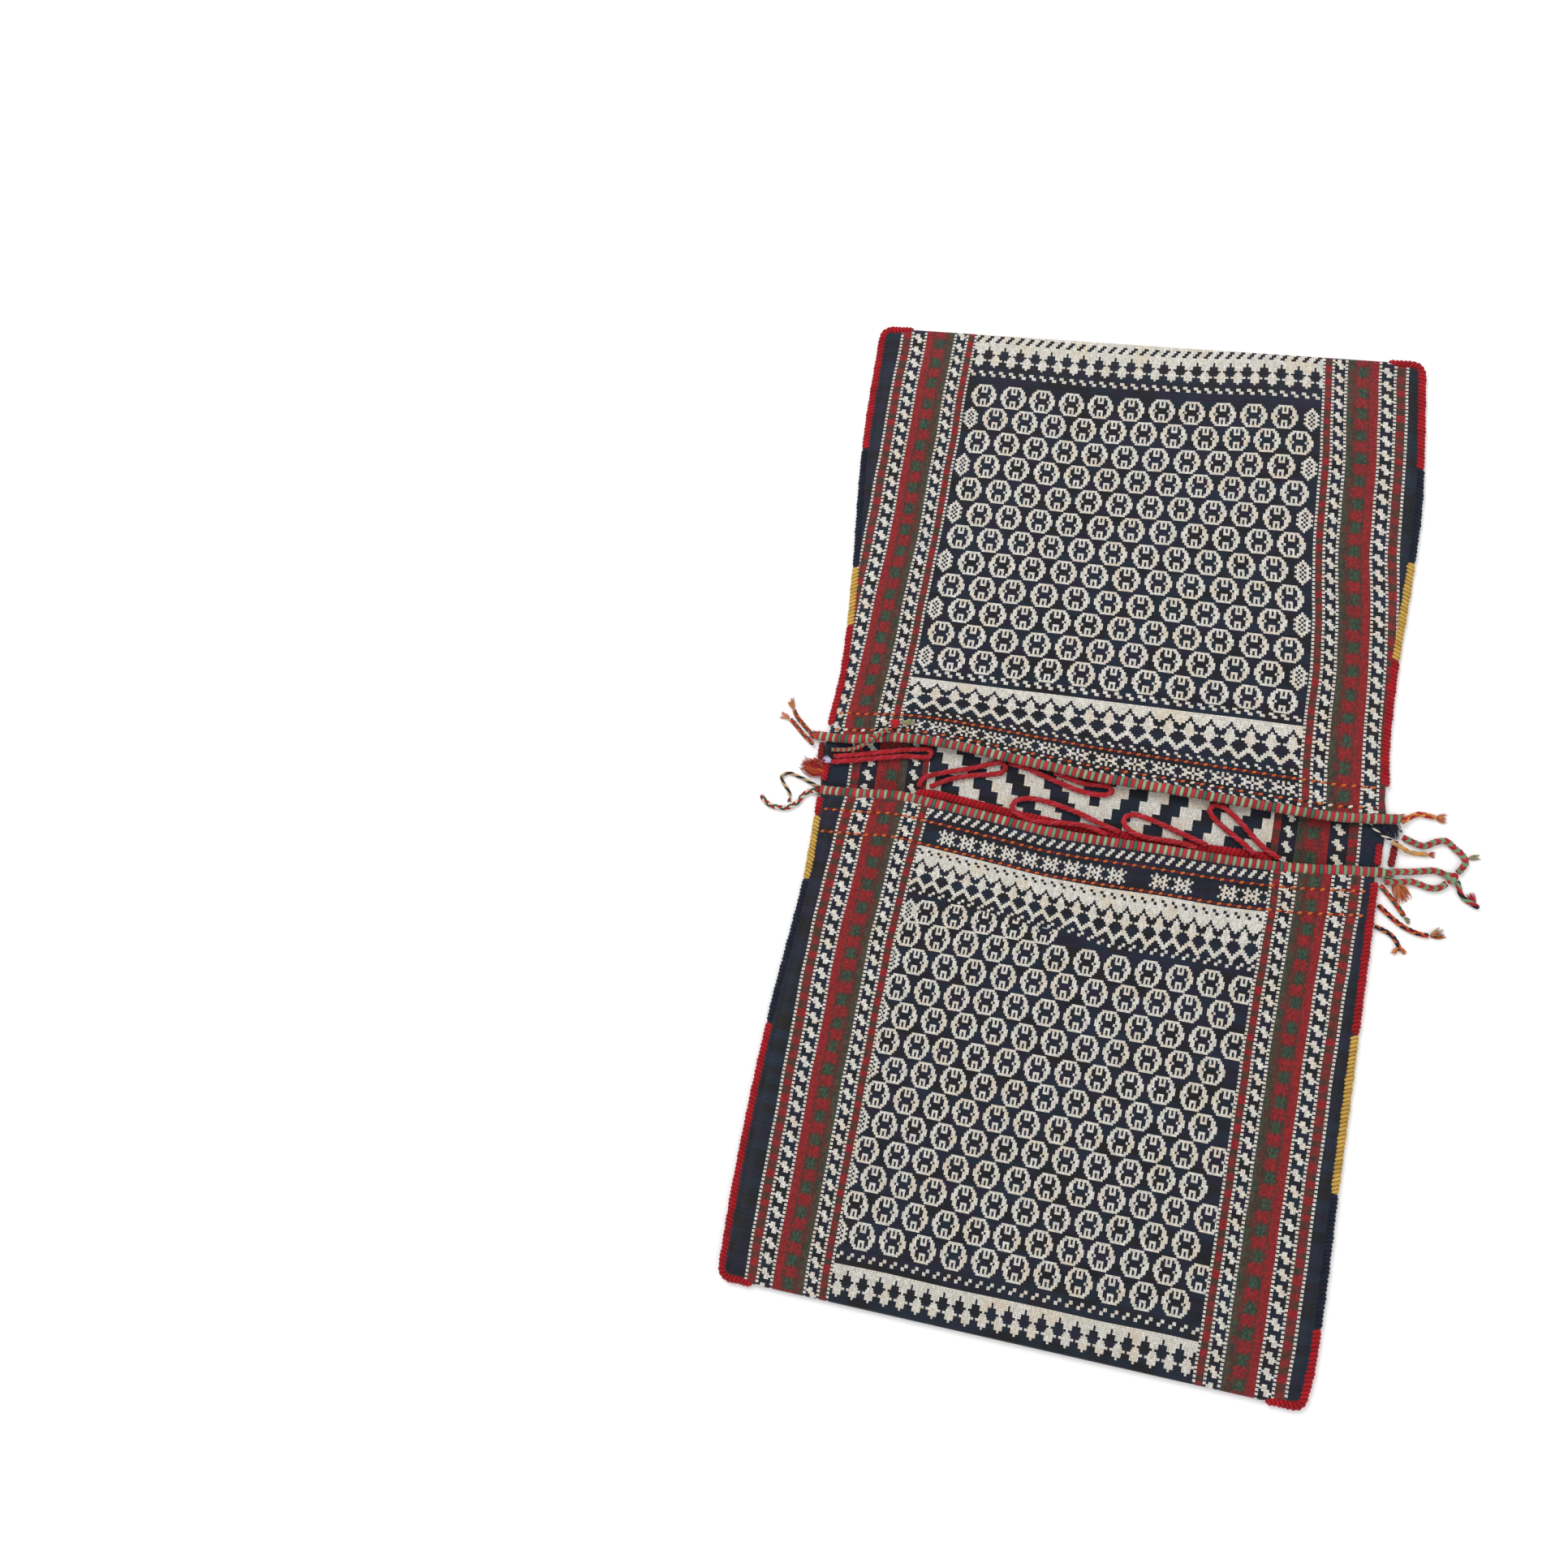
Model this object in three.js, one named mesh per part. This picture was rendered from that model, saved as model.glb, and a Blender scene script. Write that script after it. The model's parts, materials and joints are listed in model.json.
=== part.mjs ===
// Kilim saddle bag: one woven strip folded at both ends into two pouches on a shared back, lying flat.
// Millimetres. +X across the bag, +Y along it, +Z up. The back layer lies on z = 0.
import * as THREE from "three";

// ---- Driving dimensions ----
const weave = 3; // thickness of the cloth
const gape = 9; // free height inside a pouch
const foldGape = 2; // free height left inside the end folds
const foldTaper = 60; // length over which a pouch closes down to its fold
const squareness = 10; // how box-like a pouch's cross-section is
const foldEnds = { upper: 505, lower: -507 }; // outermost line of each end fold
const overcast = { width: 9.5, height: 7.2 }; // wool overcast along the sides
const mouthRoll = { width: 9, height: 6 }; // striped wrap along each mouth
const gap = 0.3; // clearance between pieces that touch
const seam = 1.8; // the strip's edge stops this far inside its overcast
const cornerWrap = { length: 28, fade: 12, recess: 9.8, radius: 9 }; // overcast turned round a corner
const loopCord = 5.6; // closure loops

// Outer line of each side, [y, x]; the overcast lies just inside it.
const leftSide = [
  [-507, -280], [-389, -280], [-246, -274], [-103, -262], [-20, -262],
  [60, -264], [111, -260], [160, -261], [233, -266], [369, -278], [505, -280],
];
const rightSide = [
  [-507, 279], [-460, 284], [-317, 286], [-174, 288], [-20, 290],
  [60, 291], [111, 286], [197, 286], [297, 290], [369, 290], [505, 279],
];
// Centre line of each mouth wrap, [x, y].
const upperMouth = [
  [-273, 47], [-251, 47], [-228, 48], [-207, 52], [-186, 55], [-155, 56], [-115, 54], [-75, 50],
  [-28, 46], [20, 42], [77, 40], [130, 38], [182, 36], [241, 35], [271, 38], [302, 42],
];
const lowerMouth = [
  [-259, -9], [-240, -9], [-216, -8], [-177, -5], [-137, -8], [-97, -12], [-58, -16], [-19, -20],
  [28, -21], [84, -21], [155, -22], [189, -21], [223, -19], [257, -15], [294, -11],
];

// Smooth curve through a table of [key, value] rows, read at any key.
function along(table, key) {
  const last = table.length - 1;
  let i = table.findIndex(([k]) => k > key) - 1;
  if (key >= table[last][0]) i = last - 1;
  i = Math.max(0, i);
  const [k0, v0] = table[i];
  const [k1, v1] = table[i + 1];
  const slope = (n) => {
    const a = table[Math.max(0, n - 1)];
    const b = table[Math.min(last, n + 1)];
    return (b[1] - a[1]) / (b[0] - a[0]);
  };
  const span = k1 - k0;
  const t = THREE.MathUtils.clamp((key - k0) / span, 0, 1);
  const t2 = t * t;
  const t3 = t2 * t;
  return (
    (2 * t3 - 3 * t2 + 1) * v0 +
    (t3 - 2 * t2 + t) * span * slope(i) +
    (3 * t2 - 2 * t3) * v1 +
    (t3 - t2) * span * slope(i + 1)
  );
}

const leftEdge = (y) => along(leftSide, y) + overcast.width + seam;
const rightEdge = (y) => along(rightSide, y) - overcast.width - seam;

// Free height between the back layer and the front of a pouch, from how far x is across the cloth.
function pouchGape(x, y) {
  const half = (rightEdge(y) - leftEdge(y)) / 2;
  const across = Math.min(1, Math.abs(x - leftEdge(y) - half) / half);
  return 0.4 + (gape - 0.4) * Math.sqrt(1 - across ** squareness);
}

// ---- The woven strip ----
const columns = 18; // segments across
const rows = { front: 11, fold: 5, back: 12 }; // segments along each stretch
const rowCount = 2 * rows.front + 2 * rows.fold + rows.back;

// Where a fold's outermost line lies at x: set back at the corners, where the overcast turns round.
function foldEnd(x, end) {
  const inset = Math.min(x - leftEdge(end), rightEdge(end) - x);
  const keep = THREE.MathUtils.smoothstep(inset, cornerWrap.length, cornerWrap.length + cornerWrap.fade);
  return end - Math.sign(end) * cornerWrap.recess * (1 - keep);
}

// A point of the strip: u across, row along from the lower mouth round the back to the upper mouth,
// and out from the cloth's middle layer towards the outside of the bag.
function clothPoint(u, row, out) {
  const spread = (1 + Math.sin(Math.PI * (u - 0.5))) / 2;
  const xAt = (y) => THREE.MathUtils.lerp(leftEdge(y), rightEdge(y), spread);
  const foldAt = (end) => {
    const x = xAt(end);
    const opening = Math.min(foldGape, pouchGape(x, end));
    const radius = (weave + opening) / 2;
    const centreY = foldEnd(x, end) - Math.sign(end) * (radius + weave / 2);
    return { x, opening, radius, centreY, centreZ: weave / 2 + radius };
  };
  const frontPoint = (end, mouth, share) => {
    const fold = foldAt(end);
    const mouthX = xAt(along(mouth, xAt(0)));
    const wrap = Math.sign(end) * (mouthRoll.width / 2 + seam);
    const y = THREE.MathUtils.lerp(along(mouth, mouthX) + wrap, fold.centreY, share);
    const x = xAt(y);
    const open = THREE.MathUtils.smoothstep(Math.abs(fold.centreY - y), 0, foldTaper);
    const height = THREE.MathUtils.lerp(fold.opening, pouchGape(x, y), open);
    return new THREE.Vector3(x, y, weave * 1.5 + height + out);
  };
  const foldPoint = (end, turn) => {
    const fold = foldAt(end);
    const reach = fold.radius + out;
    const y = fold.centreY + Math.sign(end) * reach * Math.sin(turn);
    return new THREE.Vector3(fold.x, y, fold.centreZ + reach * Math.cos(turn));
  };

  const lowerFold = row - rows.front;
  const back = lowerFold - rows.fold;
  const upperFold = back - rows.back;
  const upperFront = upperFold - rows.fold;
  if (lowerFold <= 0) return frontPoint(foldEnds.lower, lowerMouth, row / rows.front);
  if (back < 0) return foldPoint(foldEnds.lower, (Math.PI * lowerFold) / rows.fold);
  if (upperFold <= 0) {
    const share = back / rows.back;
    const y = THREE.MathUtils.lerp(foldAt(foldEnds.lower).centreY, foldAt(foldEnds.upper).centreY, share);
    return new THREE.Vector3(xAt(y), y, weave / 2 - out);
  }
  if (upperFront < 0) return foldPoint(foldEnds.upper, Math.PI * (1 - upperFold / rows.fold));
  return frontPoint(foldEnds.upper, upperMouth, 1 - upperFront / rows.front);
}

function clothGeometry() {
  const geometry = new THREE.BoxGeometry(1, 1, 1, columns, rowCount, 1);
  const position = geometry.getAttribute("position");
  for (let i = 0; i < position.count; i++) {
    const u = position.getX(i) + 0.5;
    const row = Math.round((position.getY(i) + 0.5) * rowCount);
    const point = clothPoint(u, row, -position.getZ(i) * weave);
    position.setXYZ(i, point.x, point.y, point.z);
  }
  geometry.computeVertexNormals();
  return geometry;
}

// ---- Tubes, tufts and their materials ----
const wool = (colour, roughness = 0.9) => new THREE.MeshStandardMaterial({ color: colour, roughness, metalness: 0 });
const dyed = {
  ground: wool("#23283c"),
  red: wool("#a81f24"),
  navy: wool("#262c44"),
  yellow: wool("#cfa94e"),
  sage: wool("#82987c"),
  orange: wool("#c8702f"),
  tan: wool("#c9a36a"),
  white: wool("#d9cbb4"),
};

const bag = new THREE.Group(); // what the origin is measured on
const ties = new THREE.Group(); // loose cords and what hangs on them

function add(group, name, geometry, material) {
  const mesh = new THREE.Mesh(geometry, material);
  mesh.name = name;
  group.add(mesh);
  return mesh;
}

// A tube of elliptical section along points; width lies in the horizontal plane.
function tube(points, width, height, steps, sides = 8) {
  const section = new THREE.Shape().absellipse(0, 0, height / 2, width / 2, 0, Math.PI * 2);
  const path = new THREE.CatmullRomCurve3(points.map((p) => new THREE.Vector3(...p)));
  return new THREE.ExtrudeGeometry(section, { steps, extrudePath: path, curveSegments: sides / 2 });
}

// A spread end of loose yarn from base to tip, [x, y] each, flattened where it lies at height z.
function tuft(group, name, base, tip, spread, z, material) {
  const flat = 0.45;
  const run = new THREE.Vector2(tip[0] - base[0], tip[1] - base[1]);
  const mesh = add(group, name, new THREE.CylinderGeometry(spread, 2.2, run.length(), 8), material);
  mesh.geometry.scale(1, 1, flat);
  mesh.geometry.rotateZ(run.angle() - Math.PI / 2);
  mesh.position.set((base[0] + tip[0]) / 2, (base[1] + tip[1]) / 2, z + spread * flat);
}

// ---- Overcast sides: each side of each pouch is sewn in runs of four colours ----
const sides = {
  upper_left: { side: leftSide, end: foldEnds.upper, stops: [60, 169, 233, 365] },
  upper_right: { side: rightSide, end: foldEnds.upper, stops: [72, 197, 297, 394] },
  lower_left: { side: leftSide, end: foldEnds.lower, stops: [-16, -36, -103, -253] },
  lower_right: { side: rightSide, end: foldEnds.lower, stops: [-21, -167, -314, -435] },
};
// From the mouth to the corner.
const runs = [
  ["mouth_red", dyed.red],
  ["yellow", dyed.yellow],
  ["navy", dyed.navy],
  ["corner_red", dyed.red],
];

function overcastRun(side, from, to, end) {
  const inward = side === leftSide ? 1 : -1;
  const z = overcast.height / 2;
  const xAt = (y) => along(side, y) + (inward * overcast.width) / 2;
  const points = [];
  const stop = to ?? end - Math.sign(end) * (cornerWrap.radius + 4);
  const parts = Math.max(2, Math.round(Math.abs(stop - from) / 26));
  for (let i = 0; i <= parts; i++) {
    const y = THREE.MathUtils.lerp(from, stop, i / parts);
    points.push([xAt(y), y, z]);
  }
  if (to === undefined) {
    const lineY = end - Math.sign(end) * 1.8; // the overcast straddles the fold's edge
    const startX = xAt(stop);
    const r = cornerWrap.radius;
    for (const turn of [0.3, 0.6, 0.85, 1]) {
      const a = (turn * Math.PI) / 2;
      const x = startX + inward * r * (1 - Math.cos(a));
      const y = stop + (lineY - stop) * Math.sin(a);
      points.push([x, y, z]);
    }
    points.push([startX + inward * (cornerWrap.length + 4), lineY, z]);
  }
  const steps = parts + (to === undefined ? 12 : 0);
  return tube(points, overcast.width, overcast.height, steps);
}

for (const [place, { side, end, stops }] of Object.entries(sides)) {
  const away = Math.sign(end);
  runs.forEach(([run, material], i) => {
    const from = stops[i] + away * (gap / 2);
    const to = i < 3 ? stops[i + 1] - away * (gap / 2) : undefined;
    add(bag, `overcast_${place}_${run}`, overcastRun(side, from, to, end), material);
  });
}

// Short overcast stretches beside the open back between the mouths.
const edgeStretches = {
  overcast_back_left: [[-257, 1, 3.6], [-257, 10, 3.6], [-256, 20, 3.6]],
  overcast_back_left_top: [[-264.5, 24, 3.6], [-265.5, 32, 3.6], [-265.5, 41, 3.6]],
  overcast_back_right: [[286.5, -5, 3.6], [286.5, 6, 3.6], [286, 16, 3.6]],
  overcast_loose_right: [[298.5, -4, 3.3], [299.5, 8, 3.3], [300.5, 21, 3.3]],
};
for (const [name, points] of Object.entries(edgeStretches)) {
  add(bag, name, tube(points, 7, points[0][2] * 2, 4), dyed.red);
}

// ---- Striped wraps along the mouths, on the edge of each front panel ----
const mouthSteps = 40;
function mouthWrap(mouth) {
  const clear = weave + gap + mouthRoll.height / 2;
  const [start, finish] = [mouth[0][0], mouth.at(-1)[0]];
  const points = [];
  for (let i = 0; i <= mouthSteps; i++) {
    const x = THREE.MathUtils.lerp(start, finish, i / mouthSteps);
    const y = along(mouth, x);
    const rise = x > leftEdge(y) && x < rightEdge(y) ? pouchGape(x, y) : 0;
    points.push([x, y, Math.max(clear + 0.4, weave * 1.5 + rise)]);
  }
  points[0][2] = points[1][2]; // each wrap ends level
  return tube(points, mouthRoll.width, mouthRoll.height, mouthSteps);
}
add(bag, "mouth_wrap_upper", mouthWrap(upperMouth), dyed.sage);
add(bag, "mouth_wrap_lower", mouthWrap(lowerMouth), dyed.sage);
add(bag, "bag_cloth", clothGeometry(), dyed.ground);

// Flat ribbed braid sewn to the back beside the lower mouth; the closure loops come out of it.
const bandHeight = 2.6;
const bandZ = weave + gap / 2 + bandHeight / 2;
const bandLine = [[-160, 1.5], [-142, 3], [-118, 1], [-90, -2], [-64, -5], [-10, -9], [43, -11], [100, -12], [150, -12], [192, -12]];
add(bag, "loop_band", tube(bandLine.map(([x, y]) => [x, y, bandZ]), 9, bandHeight, 20), dyed.red);

// ---- Closure loops: doubled cords, each out from its base to a tip and back ----
const low = 6; // height of a loop's middle on the back
const high = 9; // and on the ribbed braid
const loops = {
  loop_a: [
    [-251, 21.5, low], [-232, 25.5, low], [-213, 30, low], [-193, 34.5, low], [-175, 38, low], [-160, 39, low],
    [-152.5, 41, low], [-151, 45, low], [-155, 48, low], [-163, 47, low], [-178, 44.5, low], [-196, 40, low],
    [-215, 35.5, low], [-233, 31, low], [-251, 27.5, low],
  ],
  loop_b: [
    [-157.5, 9.5, low], [-157, 14.5, low], [-151, 20, low], [-139, 25, low], [-123, 30, low], [-103, 36.5, low],
    [-89, 42, low], [-80, 44.5, low], [-74.5, 41, low], [-76, 35.5, low], [-86, 31.5, low], [-104, 28, low],
    [-124, 22, low], [-138, 15, low], [-147, 9.5, low + 0.4],
  ],
  loop_c: [
    [-70, 45, low], [-53, 42.5, low], [-36, 37.5, low], [-18, 32, low], [2, 27, low], [18, 25.5, low],
    [29, 27, low], [33, 31, low], [29, 35, low], [20, 35.5, low], [6, 35, low], [-10, 38, low], [-26, 42, low],
  ],
  loop_d: [
    [44, -8.5, high], [25, -3, high], [5, 4, low + 1], [-15, 9, low], [-34, 12, low], [-50, 11.5, low],
    [-60, 6.5, low], [-61, -1, high - 0.5], [-53, -7, high], [-40, -10.5, high], [-24, -10, high],
    [-6, -8, high + 0.5], [16, -8.5, high + 0.5], [34, -14, high],
  ],
  loop_e: [
    [128, -9, high], [106, -2, low + 1.5], [86, 4.5, low], [68, 9.5, low], [56, 10.5, low], [49, 6.5, low],
    [49, 0, low + 1], [56, -6.5, high], [70, -10.5, high], [88, -11, high], [104, -11.5, high], [120, -14.5, high],
  ],
  loop_f: [
    [196, -12, high], [183, -5, high], [172, 4.5, low + 0.5], [161, 15, low], [150, 24, low], [140, 30.5, low],
    [131.5, 31, low], [128, 25.5, low], [132, 19, low], [143, 10.5, low], [155, 2.5, low + 0.8],
    [165, -4.5, high], [174, -12, high],
  ],
};
for (const [name, points] of Object.entries(loops)) {
  add(ties, name, tube(points, loopCord, loopCord, 30), dyed.red);
}

// ---- Tie ends at the corners of the mouths: [thickness, material, points] ----
const cords = {
  tie_wrap_tail: [4.6, dyed.sage, [
    [-253, 34.5, 5.6], [-243, 35.5, 5.6], [-234, 37.3, 7], [-226, 39.6, 11.5], [-219, 43, 16.6],
    [-211, 49.5, 19.3], [-203, 56.5, 19.2], [-197, 62.5, 18.4],
  ]],
  tie_orange_left_a: [4.6, dyed.orange, [
    [-276, 46.5, 4.6], [-283, 52, 2.6], [-290, 58, 2.4], [-297, 64.5, 2.4], [-302, 71.5, 2.4],
  ]],
  tie_orange_left_b: [4.6, dyed.orange, [
    [-276, 38.5, 4.2], [-283, 43.5, 2.6], [-291, 50, 2.4], [-298, 56.5, 2.4], [-304, 61, 2.4],
  ]],
  tie_braid_left: [5.2, dyed.red, [
    [-262, -11.5, 5.5], [-270, -11.5, 3.6], [-276.5, -17, 2.7], [-282, -26, 2.7], [-292, -32.5, 2.7],
    [-305, -33, 2.7], [-315, -29.5, 2.7], [-320.5, -23, 2.7],
  ]],
  tie_thin_left: [3.6, dyed.tan, [
    [-263, -5.6, 4.6], [-273, -2, 2], [-286, 2.3, 2], [-297, 4, 2], [-302.5, -0.5, 2], [-299.5, -7.5, 2],
    [-293.5, -13.5, 2], [-290, -20, 2],
  ]],
  tie_orange_right: [5.2, dyed.orange, [
    [304.5, 40.5, 5.6], [311, 46, 3.2], [319, 50, 2.7], [327, 49.5, 2.7], [332.5, 49, 2.7],
  ]],
  tie_twist_right: [2.8, dyed.white, [
    [270, 39, 4.8], [276, 33.5, 4.8], [283, 27.5, 4.8], [289, 23.5, 6.5], [295.5, 20.5, 8.6],
  ]],
  tie_tan_right: [4.6, dyed.tan, [
    [297.5, 17.5, 9.4], [304, 15.5, 9], [311.5, 13, 4], [320, 12, 2.4], [330, 12.5, 2.4],
  ]],
  tie_link_right: [6.2, dyed.sage, [
    [307.5, 25, 3.5], [316, 22, 3.2], [326, 20, 3.2], [336, 25.5, 3.2], [345, 27.5, 3.2], [352.5, 22, 3.2],
    [359.5, 17, 3.2], [363.5, 10.5, 3.2], [361, 4, 3.2], [357.5, -1, 3.2],
  ]],
  tie_eye_upper_right: [6.2, dyed.red, [
    [297, -11, 6.2], [305, -8, 4.2], [315, -6.5, 3.2], [327, -4, 3.2], [338, -2, 3.2], [348, -4.5, 3.2],
  ]],
  tie_eye_lower_right: [6.2, dyed.sage, [
    [296, -19.5, 4.5], [307, -18, 3.2], [317, -15.5, 3.2], [326, -17, 3.2], [335, -19, 3.2],
    [343, -17.5, 3.2], [349, -12.3, 3.2],
  ]],
  tie_fringed_right: [5, dyed.sage, [
    [358.6, -10, 2.6], [360.5, -15, 2.6], [362.5, -20.5, 2.6], [367, -25, 2.6], [373.5, -28, 2.6], [379, -31, 2.6],
  ]],
  tie_tan_tip_right: [4.8, dyed.orange, [
    [292.5, -24, 3], [299, -30.5, 2.5], [305.5, -37, 2.5], [311, -43.5, 2.5], [315.5, -49, 2.5],
  ]],
  tie_dark_right: [4.8, dyed.navy, [
    [292.5, -43, 3], [302.5, -50.5, 2.5], [312, -57, 2.5], [322, -61.5, 2.5], [332, -63.7, 2.5], [338.5, -64, 2.5],
  ]],
  tie_short_right: [4.4, dyed.navy, [
    [292, -63, 2.8], [298.5, -65, 2.3], [305, -67.8, 2.3], [310, -72.5, 2.3], [313.5, -78, 2.3], [315, -82, 2.3],
  ]],
};
for (const [name, [thickness, material, points]] of Object.entries(cords)) {
  const steps = name.startsWith("tie_thin") ? 20 : points.length * 2;
  add(ties, name, tube(points, thickness, thickness, steps), material);
}

// Knots, and the loose yarn that the ties end in: base, tip, spread, height, material.
function knot(name, at, radius, material) {
  const geometry = new THREE.SphereGeometry(radius, 10, 6);
  geometry.scale(1, 1, 0.62);
  add(ties, name, geometry, material).position.set(...at);
}
knot("knot_wrap_tail", [-191, 68, 18.8], 5.5, dyed.red);
knot("knot_right", [354.2, -7, 3.7], 3.9, dyed.red);

const tufts = {
  tuft_wrap_tail: [[-184.8, 70], [-171, 73], 4, 15.4, dyed.sage],
  tuft_orange_left_a: [[-303, 73], [-308.5, 84], 5, 0.1, dyed.orange],
  tuft_orange_left_b: [[-306, 62], [-316, 65], 5, 0.1, dyed.orange],
  tuft_thin_left: [[-290.2, -21.2], [-290.6, -26.5], 2.4, 0.1, dyed.orange],
  tuft_orange_right: [[334, 49], [345, 49.5], 6, 0.1, dyed.orange],
  tuft_tan_right: [[331.2, 12.6], [338, 13.5], 3.6, 0.1, dyed.orange],
  tuft_link_right: [[366.5, 14.5], [377, 17.5], 3.4, 0.1, dyed.sage],
  tuft_tan_tip_right: [[316.5, -50.2], [322.5, -54.5], 3.2, 0.1, dyed.tan],
  tuft_dark_right: [[340, -63.5], [352.5, -57.5], 6.5, 0.1, dyed.orange],
  tuft_tassel_right: [[311, -22.5], [315.5, -35], 6.5, 0.1, dyed.orange],
};
for (const [name, [base, tip, spread, z, material]] of Object.entries(tufts)) {
  tuft(ties, name, base, tip, spread, z, material);
}
tuft(bag, "fray_navy_right", [291, 34.5], [304.5, 27.5], 3.4, 3.4, dyed.navy);
tuft(bag, "fray_red_left", [-263.5, 9], [-284, 16], 7, 0.1, dyed.red);

// The origin lies under the middle of the bag itself, on the surface that it rests on.
const model = new THREE.Group();
model.add(bag, ties);
const middle = new THREE.Box3().setFromObject(bag, true).getCenter(new THREE.Vector3());
model.position.set(-middle.x, -middle.y, 0);
const root = new THREE.Group();
root.add(model);

export default root;
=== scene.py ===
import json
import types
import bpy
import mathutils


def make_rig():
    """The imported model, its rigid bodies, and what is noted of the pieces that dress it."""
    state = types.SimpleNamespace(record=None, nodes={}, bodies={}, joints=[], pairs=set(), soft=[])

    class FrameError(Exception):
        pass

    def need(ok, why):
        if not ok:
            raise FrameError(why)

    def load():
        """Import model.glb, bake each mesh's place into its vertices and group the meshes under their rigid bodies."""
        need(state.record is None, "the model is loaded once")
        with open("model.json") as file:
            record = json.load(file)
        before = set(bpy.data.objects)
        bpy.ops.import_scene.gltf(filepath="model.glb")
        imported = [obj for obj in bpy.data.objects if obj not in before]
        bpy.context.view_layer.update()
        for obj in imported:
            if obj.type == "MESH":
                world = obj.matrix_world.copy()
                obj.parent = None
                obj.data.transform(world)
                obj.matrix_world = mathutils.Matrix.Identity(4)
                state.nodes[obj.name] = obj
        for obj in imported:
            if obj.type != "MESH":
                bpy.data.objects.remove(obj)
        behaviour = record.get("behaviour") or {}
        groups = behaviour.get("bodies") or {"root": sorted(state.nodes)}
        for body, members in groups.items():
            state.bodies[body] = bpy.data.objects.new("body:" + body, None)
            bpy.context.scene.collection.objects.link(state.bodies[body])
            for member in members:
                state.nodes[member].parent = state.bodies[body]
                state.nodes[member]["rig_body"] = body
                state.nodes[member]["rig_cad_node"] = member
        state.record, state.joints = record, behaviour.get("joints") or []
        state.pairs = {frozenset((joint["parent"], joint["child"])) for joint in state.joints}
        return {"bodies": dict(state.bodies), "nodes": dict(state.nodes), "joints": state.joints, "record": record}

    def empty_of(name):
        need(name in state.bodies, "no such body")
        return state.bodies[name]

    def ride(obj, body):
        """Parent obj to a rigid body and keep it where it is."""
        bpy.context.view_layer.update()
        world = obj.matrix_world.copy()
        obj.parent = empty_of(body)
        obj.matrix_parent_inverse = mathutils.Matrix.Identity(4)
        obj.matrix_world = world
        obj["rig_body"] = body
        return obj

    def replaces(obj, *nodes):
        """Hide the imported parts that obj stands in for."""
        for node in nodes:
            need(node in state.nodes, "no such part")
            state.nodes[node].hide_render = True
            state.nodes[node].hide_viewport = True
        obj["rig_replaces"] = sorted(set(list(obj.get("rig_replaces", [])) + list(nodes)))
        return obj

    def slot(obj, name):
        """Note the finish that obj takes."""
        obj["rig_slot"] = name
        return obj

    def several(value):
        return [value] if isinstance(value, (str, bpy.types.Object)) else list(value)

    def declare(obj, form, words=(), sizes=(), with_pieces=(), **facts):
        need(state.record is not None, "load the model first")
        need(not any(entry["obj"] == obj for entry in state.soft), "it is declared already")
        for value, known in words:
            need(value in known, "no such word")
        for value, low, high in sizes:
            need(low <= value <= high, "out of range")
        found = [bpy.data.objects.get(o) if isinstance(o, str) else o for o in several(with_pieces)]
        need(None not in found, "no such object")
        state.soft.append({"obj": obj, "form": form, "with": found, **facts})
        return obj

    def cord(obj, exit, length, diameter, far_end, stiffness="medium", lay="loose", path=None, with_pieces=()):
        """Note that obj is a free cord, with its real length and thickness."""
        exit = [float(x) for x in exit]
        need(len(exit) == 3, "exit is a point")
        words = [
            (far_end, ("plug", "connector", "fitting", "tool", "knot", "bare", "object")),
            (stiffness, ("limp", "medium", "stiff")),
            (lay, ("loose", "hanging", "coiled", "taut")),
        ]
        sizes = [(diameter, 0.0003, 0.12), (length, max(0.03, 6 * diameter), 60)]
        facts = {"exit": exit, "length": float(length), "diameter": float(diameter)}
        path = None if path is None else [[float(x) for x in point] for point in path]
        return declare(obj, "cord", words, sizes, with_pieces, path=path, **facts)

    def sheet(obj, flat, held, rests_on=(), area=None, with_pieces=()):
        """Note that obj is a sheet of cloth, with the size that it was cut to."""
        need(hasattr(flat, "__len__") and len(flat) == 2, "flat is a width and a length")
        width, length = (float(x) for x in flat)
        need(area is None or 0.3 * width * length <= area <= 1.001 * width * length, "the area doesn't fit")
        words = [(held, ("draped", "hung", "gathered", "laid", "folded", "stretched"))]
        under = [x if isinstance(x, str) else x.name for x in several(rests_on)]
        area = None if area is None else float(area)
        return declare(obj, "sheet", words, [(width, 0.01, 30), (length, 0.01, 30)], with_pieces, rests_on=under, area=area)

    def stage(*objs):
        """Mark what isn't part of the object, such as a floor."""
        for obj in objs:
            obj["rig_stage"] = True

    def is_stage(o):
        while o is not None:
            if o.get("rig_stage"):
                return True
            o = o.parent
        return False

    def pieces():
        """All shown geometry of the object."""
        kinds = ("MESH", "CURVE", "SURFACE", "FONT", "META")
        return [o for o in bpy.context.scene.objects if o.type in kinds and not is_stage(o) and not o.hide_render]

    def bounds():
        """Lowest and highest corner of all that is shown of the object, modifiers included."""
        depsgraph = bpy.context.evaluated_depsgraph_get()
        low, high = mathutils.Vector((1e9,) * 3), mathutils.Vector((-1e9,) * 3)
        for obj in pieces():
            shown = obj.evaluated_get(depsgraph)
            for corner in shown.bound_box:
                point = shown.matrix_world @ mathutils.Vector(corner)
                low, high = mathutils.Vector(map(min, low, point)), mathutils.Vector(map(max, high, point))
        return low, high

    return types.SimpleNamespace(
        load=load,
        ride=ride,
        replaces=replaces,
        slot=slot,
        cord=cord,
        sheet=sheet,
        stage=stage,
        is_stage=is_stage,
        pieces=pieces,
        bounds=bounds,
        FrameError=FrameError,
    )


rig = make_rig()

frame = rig.load()
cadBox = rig.bounds()

import json
import random
from math import cos, floor, pi, radians, sin, sqrt

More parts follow.
